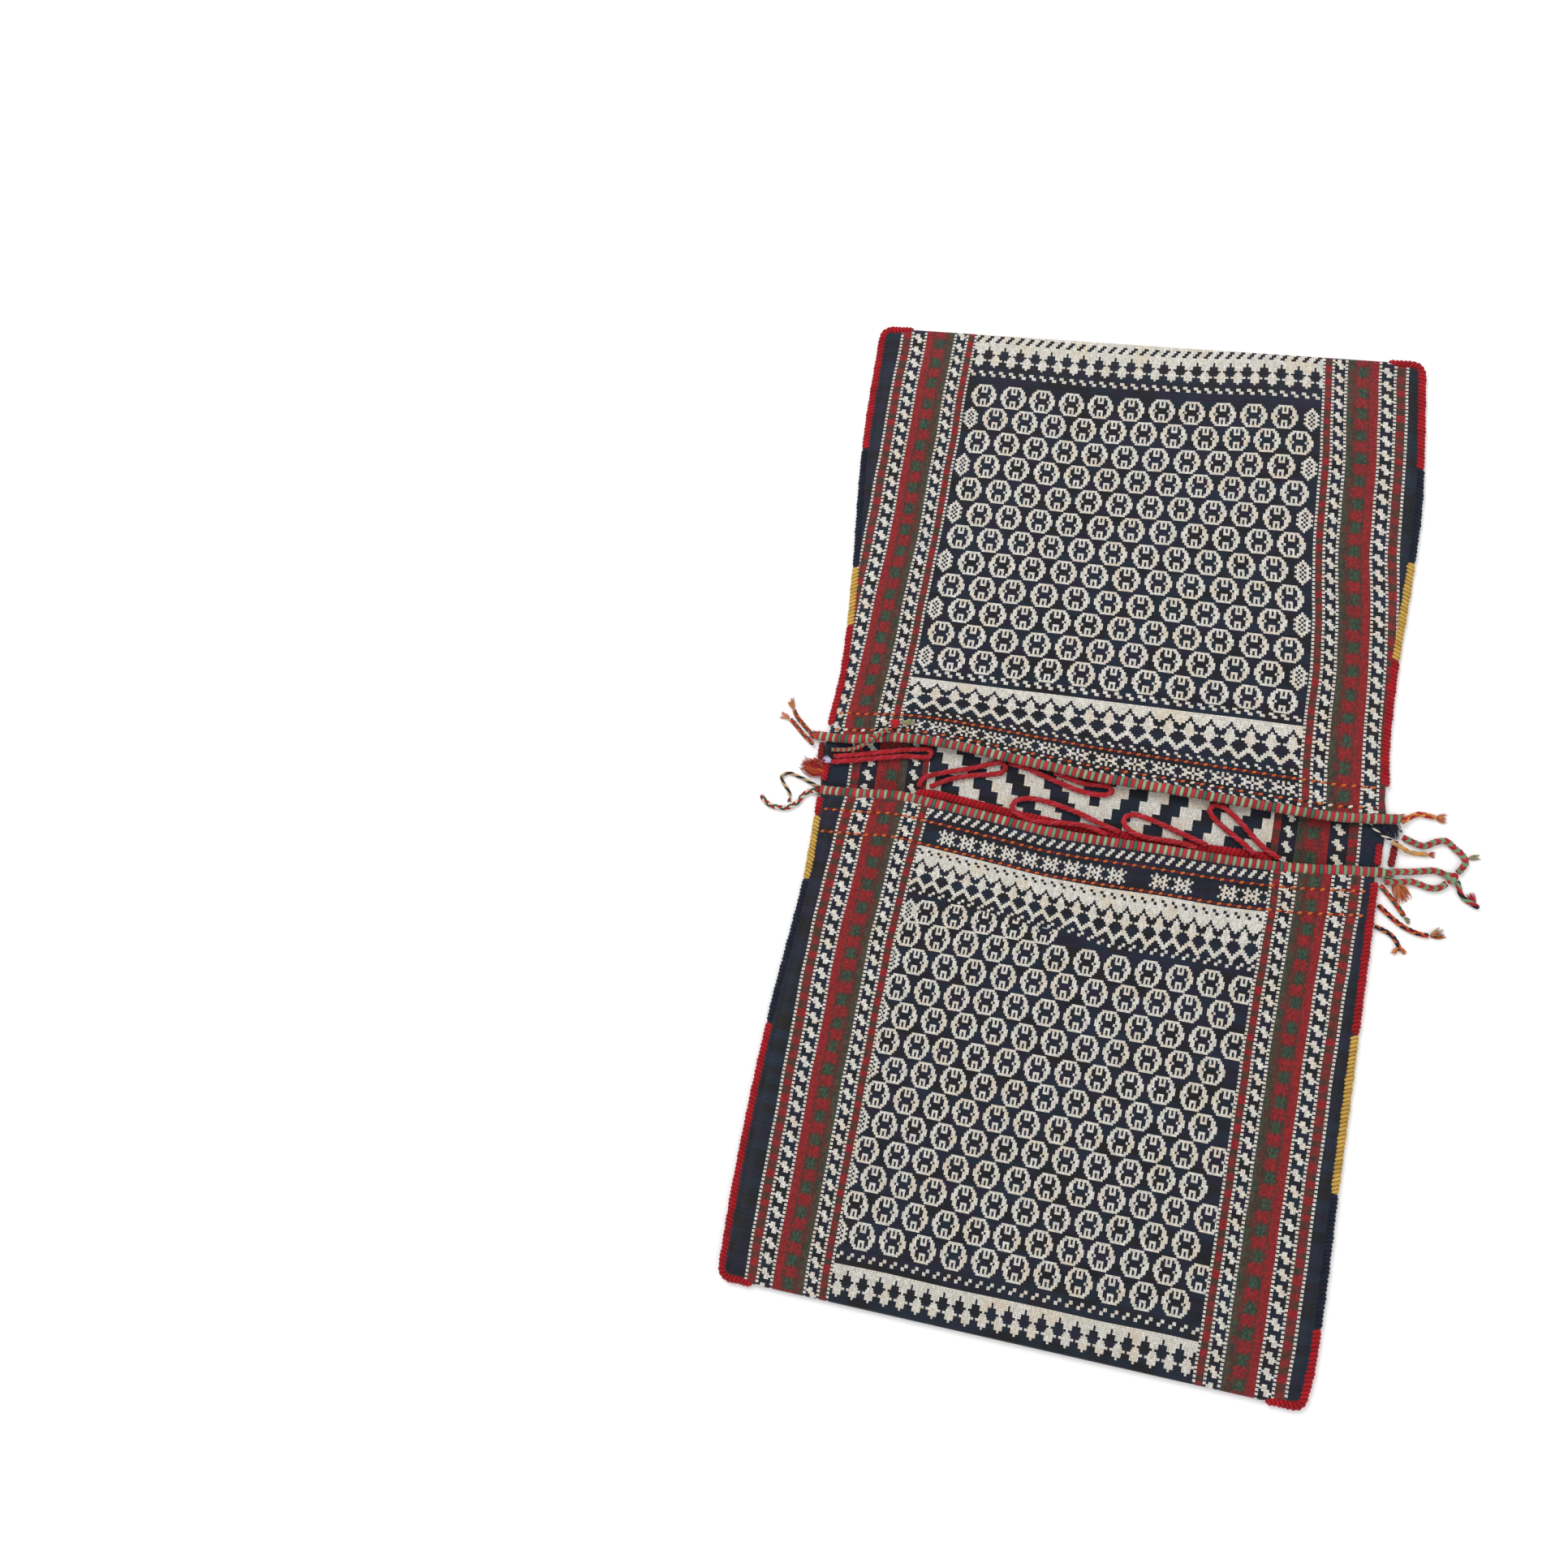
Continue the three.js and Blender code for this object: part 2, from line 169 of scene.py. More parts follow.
import bmesh
import bpy
from mathutils import Euler, Vector, noise

mm = 0.001
root = "root"
scene = bpy.context.scene
print("frame loaded:", len(frame["nodes"]), "nodes")

cameraSet = {"spot": (0.00853, -0.20314, 1.39797), "turn": (9.8965, 11.2728, 10.0427), "lens": 31.68}
cameraData = bpy.data.cameras.new("studioCamera")
cameraData.lens = cameraSet["lens"]
cameraData.sensor_width = 36
cameraData.clip_start = 0.02
camera = bpy.data.objects.new("studioCamera", cameraData)
camera.location = cameraSet["spot"]
camera.rotation_euler = Euler([radians(a) for a in cameraSet["turn"]])
scene.collection.objects.link(camera)
scene.camera = camera


class Shade:
    # one value in a dye recipe: arithmetic on it adds Math nodes
    def __init__(self, dye, socket):
        self.dye, self.socket = dye, socket

    def __add__(self, other):
        return self.dye.math("ADD", self, other)

    def __sub__(self, other):
        return self.dye.math("SUBTRACT", self, other)

    def __rsub__(self, other):
        return self.dye.math("SUBTRACT", other, self)

    def __mul__(self, other):
        return self.dye.math("MULTIPLY", self, other)

    def __truediv__(self, other):
        return self.dye.math("DIVIDE", self, other)

    def __rtruediv__(self, other):
        return self.dye.math("DIVIDE", other, self)

    def __mod__(self, other):
        return self.dye.math("FLOORED_MODULO", self, other)

    def __gt__(self, other):
        return self.dye.math("GREATER_THAN", self, other)

    def __lt__(self, other):
        return self.dye.math("LESS_THAN", self, other)

    def __abs__(self):
        return self.dye.math("ABSOLUTE", self)

    def __floor__(self):
        return self.dye.math("FLOOR", self)

    __radd__ = __add__
    __rmul__ = __mul__


def tint(code):
    # a colour written as in a paint chart, made linear
    parts = [int(code[i:i + 2], 16) / 255 for i in (1, 3, 5)]
    return tuple(p / 12.92 if p <= 0.04045 else ((p + 0.055) / 1.055) ** 2.4 for p in parts) + (1.0,)


class Dye:
    # one material and the nodes that make it
    def __init__(self, name, roughness=0.9, sheen=0.06):
        self.material = bpy.data.materials.new(name)
        self.material.use_nodes = True
        self.nodes = self.material.node_tree.nodes
        self.links = self.material.node_tree.links
        self.shader = self.nodes["Principled BSDF"]
        self.shader.inputs["Roughness"].default_value = roughness
        self.shader.inputs["Specular IOR Level"].default_value = 0.12
        self.shader.inputs["Sheen Weight"].default_value = sheen
        self.shader.inputs["Sheen Roughness"].default_value = 0.6

    def add(self, kind, settings=None, sockets=None, out=0):
        node = self.nodes.new(kind)
        for key, value in (settings or {}).items():
            setattr(node, key, value)
        for key, value in (sockets or {}).items():
            if isinstance(value, Shade):
                self.links.new(value.socket, node.inputs[key])
            else:
                node.inputs[key].default_value = value
        return Shade(self, node.outputs[out])

    def math(self, operation, *values):
        return self.add("ShaderNodeMath", {"operation": operation}, dict(enumerate(values)))

    def mix(self, share, under, over):
        return self.add("ShaderNodeMix", {"data_type": "RGBA"}, {0: share, 6: under, 7: over}, 2)

    def tone(self, colour, amount):
        # a colour made lighter or darker by a grey amount
        grey = self.add("ShaderNodeCombineXYZ", None, {0: amount, 1: amount, 2: amount})
        return self.add("ShaderNodeMix", {"data_type": "RGBA", "blend_type": "MULTIPLY"},
                        {0: 1.0, 6: colour, 7: grey}, 2)

    def parts(self, vector):
        node = self.nodes.new("ShaderNodeSeparateXYZ")
        self.links.new(vector.socket, node.inputs[0])
        return [Shade(self, node.outputs[n]) for n in range(3)]

    def place(self):
        return self.add("ShaderNodeTexCoord", None, None, "Object")

    def layer(self, name):
        return self.add("ShaderNodeAttribute", {"attribute_name": name}, None, "Vector")

    def stretched(self, vector, scale):
        return self.add("ShaderNodeVectorMath", {"operation": "MULTIPLY"}, {0: vector, 1: scale})

    def cloud(self, vector, scale, detail=2.0, roughness=0.5):
        return self.add("ShaderNodeTexNoise", None, {"Vector": vector, "Scale": scale, "Detail": detail,
                                                     "Roughness": roughness})

    def dice(self, x, y, seed=0.0):
        # a steady random number for each whole x and y
        spot = self.add("ShaderNodeCombineXYZ", None, {0: x, 1: y, 2: seed})
        return self.add("ShaderNodeTexWhiteNoise", {"noise_dimensions": "3D"}, {"Vector": spot})

    def same(self, value, number):
        return self.math("COMPARE", value, number, 0.5)

    def between(self, value, low, high):
        return (value > low) * (value < high)

    def chart(self, rows, column, row):
        # 1 on the '#' stitches of a knitting chart, read at whole columns and rows, 0 outside it
        code = 0
        for n, line in enumerate(rows):
            bits = sum(2 ** i for i, stitch in enumerate(line) if stitch == "#")
            if bits:
                code = self.same(row, n) * bits + code
        return floor(code / self.math("POWER", 2.0, column) + 0.002) % 2

    def dress(self, colour, height, depth, strength=1.0):
        self.links.new(colour.socket, self.shader.inputs["Base Color"])
        bump = self.add("ShaderNodeBump", None, {"Height": height, "Distance": depth, "Strength": strength})
        self.links.new(bump.socket, self.shader.inputs["Normal"])
        return self.material


def woolDye(name, colours, wrapped=False):
    # plain wool yarn: darker and lighter patches, and fibres that run along the piece's own UV map;
    # wrapped wool has its fibres round the piece and painted shade in the crease between one turn and the next
    dye = Dye(name)
    deep, middle, light = (tint(c) for c in colours)
    thread = dye.layer("thread")
    turn, _, _ = dye.parts(thread)
    spot = dye.place()
    patch = dye.cloud(spot, 60.0, 3.0)
    fibre = dye.cloud(dye.stretched(thread, (9.0, 2.0, 1.0) if wrapped else (1.4, 26.0, 1.0)), 3.0, 3.0, 0.7)
    fuzz = dye.cloud(spot, 1600.0, 2.0, 0.6)
    colour = dye.mix(dye.math("SMOOTH_MIN", patch * 1.5 - 0.15, 1.0, 0.1), deep, middle)
    colour = dye.mix((fibre - 0.45) * 1.6 * (fuzz * 0.8 + 0.4), colour, light)
    if wrapped:
        # painted shade: the colour darkens towards the crease between one turn and the next, times a random tone for
        # each turn
        edge = abs(turn % 1 - 0.5) * 2
        roll = dye.dice(floor(turn), 0.0, 2.0)
        colour = dye.tone(colour, (1 - edge * edge * edge * 0.8) * (roll * 0.3 + 0.82))
    return dye.dress(colour, fibre * 0.7 + fuzz * 0.5, 0.0004, 0.9)


def smoothLine(points, step):
    # even points on a smooth curve through the given ones, with centripetal knots
    points = [Vector(p) for p in points]
    full = [2 * points[0] - points[1]] + points + [2 * points[-1] - points[-2]]
    fine = []
    for i in range(len(points) - 1):
        a, b, c, d = full[i:i + 4]
        ta, tb, tc = (max(1e-5, (q - p).length) ** 0.5 for p, q in ((a, b), (b, c), (c, d)))
        m1 = (b - a) / ta - (c - a) / (ta + tb) + (c - b) / tb
        m2 = (c - b) / tb - (d - b) / (tb + tc) + (d - c) / tc
        m1, m2 = m1 * tb, m2 * tb
        for k in range(12):
            t = k / 12
            fine.append(b * (2 * t ** 3 - 3 * t ** 2 + 1) + m1 * (t ** 3 - 2 * t ** 2 + t)
                        + c * (3 * t ** 2 - 2 * t ** 3) + m2 * (t ** 3 - t ** 2))
    fine.append(points[-1])
    reach = [0.0]
    for p, q in zip(fine, fine[1:]):
        reach.append(reach[-1] + (q - p).length)
    count = max(2, round(reach[-1] / step))
    even, n = [], 0
    for k in range(count + 1):
        want = reach[-1] * k / count
        while n < len(fine) - 2 and reach[n + 1] < want:
            n += 1
        share = (want - reach[n]) / max(1e-9, reach[n + 1] - reach[n])
        even.append(fine[n].lerp(fine[n + 1], min(1.0, share)))
    return even, reach[-1]


def lineFrames(line):
    # at each point of a line: sideways in the horizontal plane, and upwards
    frames = []
    for n in range(len(line)):
        ahead = (line[min(n + 1, len(line) - 1)] - line[max(n - 1, 0)]).normalized()
        side = ahead.cross(Vector((0, 0, 1)))
        side = side.normalized() if side.length > 1e-4 else Vector((1, 0, 0))
        frames.append((side, side.cross(ahead)))
    return frames


def gridTube(bm, rings, sides, place, mark, slot=0):
    # a grid rolled into a closed tube: place(ring, turn) gives a point, mark(ring, turn) its thread map
    made = bmesh.ops.create_grid(bm, x_segments=rings, y_segments=sides, size=0.5)["verts"]
    thread = bm.loops.layers.uv["thread"]
    faces = {f for v in made for f in v.link_faces}
    for face in faces:
        face.material_index = slot
        face.smooth = True
        for loop in face.loops:
            loop[thread].uv = mark((loop.vert.co.x + 0.5) * rings, loop.vert.co.y + 0.5)
    for v in made:
        v.co = place((v.co.x + 0.5) * rings, v.co.y + 0.5)
    bmesh.ops.remove_doubles(bm, verts=made, dist=1e-6)
    edges = [e for f in faces if f.is_valid for e in f.edges if e.is_boundary]
    caps = bmesh.ops.holes_fill(bm, edges=list(set(edges)), sides=0)["faces"]
    for face in caps:
        face.material_index = slot
        face.smooth = True


def finishPiece(bm, name, dyes, slotName, nodes=()):
    bmesh.ops.recalc_face_normals(bm, faces=bm.faces[:])
    mesh = bpy.data.meshes.new(name)
    bm.to_mesh(mesh)
    bm.free()
    for dye in dyes:
        mesh.materials.append(dye)
    piece = bpy.data.objects.new(name, mesh)
    scene.collection.objects.link(piece)
    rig.ride(piece, root)
    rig.slot(piece, slotName)
    if nodes:
        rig.replaces(piece, *nodes)
    return piece


def newYarn():
    bm = bmesh.new()
    bm.loops.layers.uv.new("thread")
    return bm


startsBack = 1.5 * mm  # how far a cord starts inside the piece that it leaves


def plied(name, points, diameter, plan, dyes, slotName, nodes):
    # a cord of several strands: twisted round each other, or plaited flat
    points = [Vector(p) for p in points]
    points[0] += (points[0] - points[1]).normalized() * startsBack
    line, length = smoothLine(points, plan.get("step", 1.3 * mm))
    frames = lineFrames(line)
    strands = plan["strands"]
    thick = plan["strand"] * diameter / 2
    out = diameter / 2 - thick
    turn = plan["turn"] * diameter
    bm = newYarn()
    rings = len(line) - 1
    for k in range(strands):
        def place(ring, share, k=k):
            n = min(rings, round(ring))
            side, up = frames[n]
            angle = 2 * pi * (length * n / rings / turn + k / strands)
            if plan["lay"] == "plait":
                centre = line[n] + side * out * cos(angle) + up * out * 0.55 * sin(2 * angle)
            else:
                centre = line[n] + side * out * cos(angle) + up * out * sin(angle)
            close = 0.7 if n in (0, rings) else 1.04
            turned = 2 * pi * share
            wisp = 1 + 0.06 * noise.noise(Vector((n * 0.35, k * 9.1, cos(turned))))
            return centre + (side * cos(turned) + up * sin(turned)) * thick * close * wisp

        def mark(ring, share, k=k):
            return ring * length / rings / (2 * mm), share + k
        gridTube(bm, rings, 8, place, mark, k % len(dyes))
    return finishPiece(bm, name, dyes, slotName, nodes), line, length


def yarnEnd(name, base, tip, spread, height, count, dyes, slotName, nodes, seed, curl=0.25):
    # loose fibres fanning out from the end of a cord, thinner towards their tips
    draw = random.Random(seed)
    base, tip = Vector(base), Vector(tip)
    run = tip - base
    side = Vector((-run.y, run.x, 0)).normalized()
    bm = newYarn()
    for n in range(count):
        fan = draw.uniform(-1, 1)
        lift = draw.uniform(0.05, 0.95)
        reach = draw.uniform(0.55, 1.0)
        sway = draw.uniform(-curl, curl)
        thick = draw.uniform(0.32, 0.55) * mm
        line = []
        for k in range(7):
            t = k / 6
            away = fan * spread * (0.22 + 0.78 * t ** 1.1) * 0.86 + sway * spread * sin(pi * t)
            loft = lift * (1 - 0.75 * t * t) * (0.6 + 0.4 * sin(pi * t + fan))
            rise = thick + (height - 2 * thick) * loft
            line.append(base + run * t * reach + side * away + Vector((0, 0, rise)))
        frames = lineFrames(line)

        def place(ring, share, line=line, frames=frames, thick=thick):
            k = min(6, round(ring))
            s, u = frames[k]
            r = thick * (1 - 0.6 * (k / 6) ** 2)
            return line[k] + (s * cos(2 * pi * share) + u * sin(2 * pi * share)) * r
        gridTube(bm, 6, 5, place, lambda ring, share, n=n: (ring, share + n), draw.randrange(len(dyes)))
    return finishPiece(bm, name, dyes, slotName, nodes)


redWool = woolDye("redWool", ("#7a1218", "#ae1c25", "#cc4440"))
roseWool = woolDye("roseWool", ("#8a1c2a", "#b42c3c", "#d05a5c"))
darkRedWool = woolDye("darkRedWool", ("#481214", "#741c1c", "#984032"))
greenWool = woolDye("greenWool", ("#20382c", "#35533e", "#6a8468"))
sageWool = woolDye("sageWool", ("#50684e", "#7b9470", "#a9b894"))
orangeWool = woolDye("orangeWool", ("#963c18", "#c4602a", "#e49250"))
goldWool = woolDye("goldWool", ("#b06a2a", "#d49044", "#ecc080"))
tanWool = woolDye("tanWool", ("#8c6c46", "#b8966a", "#dcc29a"))
creamWool = woolDye("creamWool", ("#b0a48e", "#dacfbc", "#f2ece0"))
darkWool = woolDye("darkWool", ("#0e0f10", "#1c1c20", "#3a3a40"))
navyWool = woolDye("navyWool", ("#0e1220", "#1a2034", "#3a4258"))
lilacWool = woolDye("lilacWool", ("#a09cc0", "#c8c6de", "#e6e6f2"))
pinkWool = woolDye("pinkWool", ("#a85a5c", "#cc7c78", "#e6b0a6"))
redWrap = woolDye("redWrap", ("#7c0c16", "#ae141f", "#cc343a"), True)
darkRedWrap = woolDye("darkRedWrap", ("#581216", "#841c20", "#a83a34"), True)
navyWrap = woolDye("navyWrap", ("#10131e", "#1c2132", "#343b52"), True)
yellowWrap = woolDye("yellowWrap", ("#a8843a", "#cda24a", "#e2c078"), True)
print("wool dyes mixed")

loopSet = {"diameter": 5.6 * mm, "dyes": [redWool, redWool, roseWool],
           "plan": {"lay": "twist", "strands": 3, "strand": 0.56, "turn": 3.4, "step": 1.1 * mm}}
loopRoutes = {
    "loop_a": [
        (-0.2609, 0.0225, 0.006), (-0.2419, 0.0265, 0.006), (-0.2229, 0.031, 0.006), (-0.2029, 0.0355, 0.006),
        (-0.1849, 0.039, 0.006), (-0.1699, 0.04, 0.006), (-0.1624, 0.042, 0.006), (-0.1609, 0.046, 0.006),
        (-0.1649, 0.049, 0.006), (-0.1729, 0.048, 0.006), (-0.1879, 0.0455, 0.006), (-0.2059, 0.041, 0.006),
        (-0.2249, 0.0365, 0.006), (-0.2429, 0.032, 0.006), (-0.2609, 0.0285, 0.006)],
    "loop_b": [
        (-0.1674, 0.0105, 0.006), (-0.1669, 0.0155, 0.006), (-0.1609, 0.021, 0.006), (-0.1489, 0.026, 0.006),
        (-0.1329, 0.031, 0.006), (-0.1129, 0.0375, 0.006), (-0.0989, 0.043, 0.006), (-0.0899, 0.0455, 0.006),
        (-0.0844, 0.042, 0.006), (-0.0859, 0.0365, 0.006), (-0.0959, 0.0325, 0.006), (-0.1139, 0.029, 0.006),
        (-0.1339, 0.023, 0.006), (-0.1479, 0.016, 0.006), (-0.1569, 0.0105, 0.0064)],
    "loop_c": [
        (-0.0799, 0.046, 0.006), (-0.0629, 0.0435, 0.006), (-0.0459, 0.0385, 0.006), (-0.0279, 0.033, 0.006),
        (-0.0079, 0.028, 0.006), (0.0081, 0.0265, 0.006), (0.0191, 0.028, 0.006), (0.0231, 0.032, 0.006),
        (0.0191, 0.036, 0.006), (0.0101, 0.0365, 0.006), (-0.0039, 0.036, 0.006), (-0.0199, 0.039, 0.006),
        (-0.0359, 0.043, 0.006)],
    "loop_d": [
        (0.0341, -0.0075, 0.009), (0.0151, -0.002, 0.009), (-0.0049, 0.005, 0.007), (-0.0249, 0.01, 0.006),
        (-0.0439, 0.013, 0.006), (-0.0599, 0.0125, 0.006), (-0.0699, 0.0075, 0.006), (-0.0709, 0, 0.0085),
        (-0.0629, -0.006, 0.009), (-0.0499, -0.0095, 0.009), (-0.0339, -0.009, 0.009),
        (-0.0159, -0.007, 0.0095), (0.0061, -0.0075, 0.0095), (0.0241, -0.013, 0.009)],
    "loop_e": [
        (0.1181, -0.008, 0.009), (0.0961, -0.001, 0.0075), (0.0761, 0.0055, 0.006), (0.0581, 0.0105, 0.006),
        (0.0461, 0.0115, 0.006), (0.0391, 0.0075, 0.006), (0.0391, 0.001, 0.007), (0.0461, -0.0055, 0.009),
        (0.0601, -0.0095, 0.009), (0.0781, -0.01, 0.009), (0.0941, -0.0105, 0.009), (0.1101, -0.0135, 0.009)],
    "loop_f": [
        (0.1861, -0.011, 0.009), (0.1731, -0.004, 0.009), (0.1621, 0.0055, 0.0065), (0.1511, 0.016, 0.006),
        (0.1401, 0.025, 0.006), (0.1301, 0.0315, 0.006), (0.1216, 0.032, 0.006), (0.1181, 0.0265, 0.006),
        (0.1221, 0.02, 0.006), (0.1331, 0.0115, 0.006), (0.1451, 0.0035, 0.0068), (0.1551, -0.0035, 0.009),
        (0.1641, -0.011, 0.009)],
}
for name, route in loopRoutes.items():
    piece, line, length = plied(f"{name}_cord", route, loopSet["diameter"], loopSet["plan"], loopSet["dyes"],
                                "loop_wool", [name])
    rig.cord(piece, exit=line[0], length=length, diameter=loopSet["diameter"], far_end="object",
            stiffness="limp", lay="loose", path=[tuple(p) for p in line])
print("closure loops laid:", len(loopRoutes))

twist = {"lay": "twist", "strands": 2, "strand": 0.7, "turn": 3.6, "step": 1.1 * mm}
ply = {"lay": "twist", "strands": 3, "strand": 0.62, "turn": 3.4, "step": 1.1 * mm}
plait = {"lay": "plait", "strands": 3, "strand": 0.52, "turn": 3.0, "step": 0.9 * mm}
links = {"lay": "plait", "strands": 4, "strand": 0.5, "turn": 2.6, "step": 0.9 * mm}
# diameter, how its strands lie, their wools, its slot, what its end is, its route
tieEnds = {
    "tie_wrap_tail": (4.6, links, [sageWool, redWool, sageWool, roseWool], "braid_red_green", "knot", [
        (-0.2629, 0.0355, 0.0056), (-0.2529, 0.0365, 0.0056), (-0.2439, 0.0383, 0.007),
        (-0.2359, 0.0406, 0.0115), (-0.2289, 0.044, 0.0166), (-0.2209, 0.0505, 0.0193),
        (-0.2129, 0.0575, 0.0192), (-0.2069, 0.0635, 0.0184)]),
    "tie_orange_left_a": (4.6, plait, [orangeWool, redWool, greenWool], "braid_orange", "bare", [
        (-0.2859, 0.0475, 0.0046), (-0.2929, 0.053, 0.0026), (-0.2999, 0.059, 0.0024),
        (-0.3069, 0.0655, 0.0024), (-0.3119, 0.0725, 0.0024)]),
    "tie_orange_left_b": (4.6, plait, [orangeWool, greenWool, redWool], "braid_orange", "bare", [
        (-0.2859, 0.0395, 0.0042), (-0.2929, 0.0445, 0.0026), (-0.3009, 0.051, 0.0024),
        (-0.3079, 0.0575, 0.0024), (-0.3139, 0.062, 0.0024)]),
    "tie_braid_left": (5.2, plait, [redWool, creamWool, greenWool], "braid_red_green", "bare", [
        (-0.2719, -0.0105, 0.0055), (-0.2799, -0.0105, 0.0036), (-0.2864, -0.016, 0.0027),
        (-0.2919, -0.025, 0.0027), (-0.3019, -0.0315, 0.0027), (-0.3149, -0.032, 0.0027),
        (-0.3249, -0.0285, 0.0027), (-0.3304, -0.022, 0.0027)]),
    "tie_thin_left": (3.6, twist, [tanWool, darkWool], "braid_dark", "bare", [
        (-0.2729, -0.0046, 0.0046), (-0.2829, -0.001, 0.002), (-0.2959, 0.0033, 0.002),
        (-0.3069, 0.005, 0.002), (-0.3124, 0.0005, 0.002), (-0.3094, -0.0065, 0.002),
        (-0.3034, -0.0125, 0.002), (-0.2999, -0.019, 0.002)]),
    "tie_orange_right": (5.2, plait, [orangeWool, redWool, goldWool], "braid_orange", "bare", [
        (0.2946, 0.0415, 0.0056), (0.3011, 0.047, 0.0032), (0.3091, 0.051, 0.0027), (0.3171, 0.0505, 0.0027),
        (0.3226, 0.05, 0.0027)]),
    "tie_twist_right": (2.8, twist, [darkWool, creamWool], "braid_dark", "object", [
        (0.2601, 0.04, 0.0048), (0.2661, 0.0345, 0.0048), (0.2731, 0.0285, 0.0048), (0.2791, 0.0245, 0.0065),
        (0.2856, 0.0215, 0.0086)]),
    "tie_tan_right": (4.6, twist, [tanWool, goldWool], "braid_orange", "bare", [
        (0.2876, 0.0185, 0.0094), (0.2941, 0.0165, 0.009), (0.3016, 0.014, 0.004), (0.3101, 0.013, 0.0024),
        (0.3201, 0.0135, 0.0024)]),
    "tie_link_right": (6.2, links, [redWool, sageWool, roseWool, sageWool], "braid_red_green", "knot", [
        (0.2976, 0.026, 0.0035), (0.3061, 0.023, 0.0032), (0.3161, 0.021, 0.0032), (0.3261, 0.0265, 0.0032),
        (0.3351, 0.0285, 0.0032), (0.3426, 0.023, 0.0032), (0.3496, 0.018, 0.0032), (0.3536, 0.0115, 0.0032),
        (0.3511, 0.005, 0.0032), (0.3476, 0, 0.0032)]),
    "tie_eye_upper_right": (6.2, links, [roseWool, sageWool, redWool, sageWool], "braid_red_green", "knot", [
        (0.2871, -0.01, 0.0062), (0.2951, -0.007, 0.0042), (0.3051, -0.0055, 0.0032),
        (0.3171, -0.003, 0.0032), (0.3281, -0.001, 0.0032), (0.3381, -0.0035, 0.0032)]),
    "tie_eye_lower_right": (6.2, links, [redWool, sageWool, roseWool, sageWool], "braid_red_green", "knot", [
        (0.2861, -0.0185, 0.0045), (0.2971, -0.017, 0.0032), (0.3071, -0.0145, 0.0032),
        (0.3161, -0.016, 0.0032), (0.3251, -0.018, 0.0032), (0.3331, -0.0165, 0.0032),
        (0.3391, -0.0113, 0.0032)]),
    "tie_fringed_right": (5.0, ply, [sageWool, darkWool, redWool], "braid_red_green", "bare", [
        (0.3487, -0.009, 0.0026), (0.3506, -0.014, 0.0026), (0.3526, -0.0195, 0.0026),
        (0.3571, -0.024, 0.0026), (0.3636, -0.027, 0.0026), (0.3691, -0.03, 0.0026)]),
    "tie_tan_tip_right": (4.8, plait, [orangeWool, redWool, greenWool], "braid_orange", "bare", [
        (0.2826, -0.023, 0.003), (0.2891, -0.0295, 0.0025), (0.2956, -0.036, 0.0025),
        (0.3011, -0.0425, 0.0025), (0.3056, -0.048, 0.0025)]),
    "tie_dark_right": (4.8, plait, [darkWool, orangeWool, redWool], "braid_dark", "bare", [
        (0.2826, -0.042, 0.003), (0.2926, -0.0495, 0.0025), (0.3021, -0.056, 0.0025),
        (0.3121, -0.0605, 0.0025), (0.3221, -0.0627, 0.0025), (0.3286, -0.063, 0.0025)]),
    "tie_short_right": (4.4, plait, [darkWool, orangeWool, navyWool], "braid_dark", "bare", [
        (0.2821, -0.062, 0.0028), (0.2886, -0.064, 0.0023), (0.2951, -0.0668, 0.0023),
        (0.3001, -0.0715, 0.0023), (0.3036, -0.077, 0.0023), (0.3051, -0.081, 0.0023)]),
}

# loose ends: base, tip, spread, height, fibres, wools, slot, seed
looseEnds = {
    "tuft_wrap_tail": ([-184.8, 70, 15.4], [-171, 73, 15.4], 4, 3.6, 30, [sageWool, tanWool], "sage_yarn", 3),
    "tuft_orange_left_a": ([-303, 73, 0.1], [-308.5, 84, 0.1], 5, 4.4, 30, [orangeWool, goldWool, tanWool],
                           "orange_yarn", 4),
    "tuft_orange_left_b": ([-306, 62, 0.1], [-316, 65, 0.1], 5, 4.4, 30, [orangeWool, goldWool, pinkWool],
                           "orange_yarn", 5),
    "tuft_thin_left": ([-290.2, -21.2, 0.1], [-290.6, -26.5, 0.1], 2.4, 2, 16, [orangeWool, greenWool],
                       "orange_yarn", 6),
    "tuft_orange_right": ([334, 49, 0.1], [345, 49.5, 0.1], 6, 5, 34, [orangeWool, goldWool, pinkWool],
                          "orange_yarn", 7),
    "tuft_tan_right": ([331.2, 12.6, 0.1], [338, 13.5, 0.1], 3.6, 3, 22, [orangeWool, redWool],
                       "orange_yarn", 8),
    "tuft_link_right": ([366.5, 14.5, 0.1], [377, 17.5, 0.1], 3.4, 2.8, 22, [sageWool, tanWool],
                        "sage_yarn", 9),
    "tuft_tan_tip_right": ([316.5, -50.2, 0.1], [322.5, -54.5, 0.1], 3.2, 2.8, 22, [tanWool, sageWool],
                           "tan_yarn", 10),
    "tuft_dark_right": ([340, -63.5, 0.1], [352.5, -57.5, 0.1], 6.5, 5, 34, [orangeWool, navyWool, tanWool],
                        "orange_yarn", 11),
    "tuft_tassel_right": ([304, -17, 0.1], [316, -36, 0.1], 9, 5.4, 80,
                          [orangeWool, goldWool, pinkWool, orangeWool, redWool], "orange_yarn", 12),
}
clothOrigin = Vector((-9.901535511, 0.994216919, 0))  # the cloth's own millimetres to the frame's


def spot(x, y, z=0.0):
    return (Vector((x, y, z)) + clothOrigin) * mm


tufts = {}
for name, (base, tip, spread, height, count, dyes, slotName, seed) in looseEnds.items():
    tufts[name] = yarnEnd(f"{name}_yarn", spot(*base), spot(*tip), spread * mm, height * mm, count, dyes,
                          slotName, [name], seed)


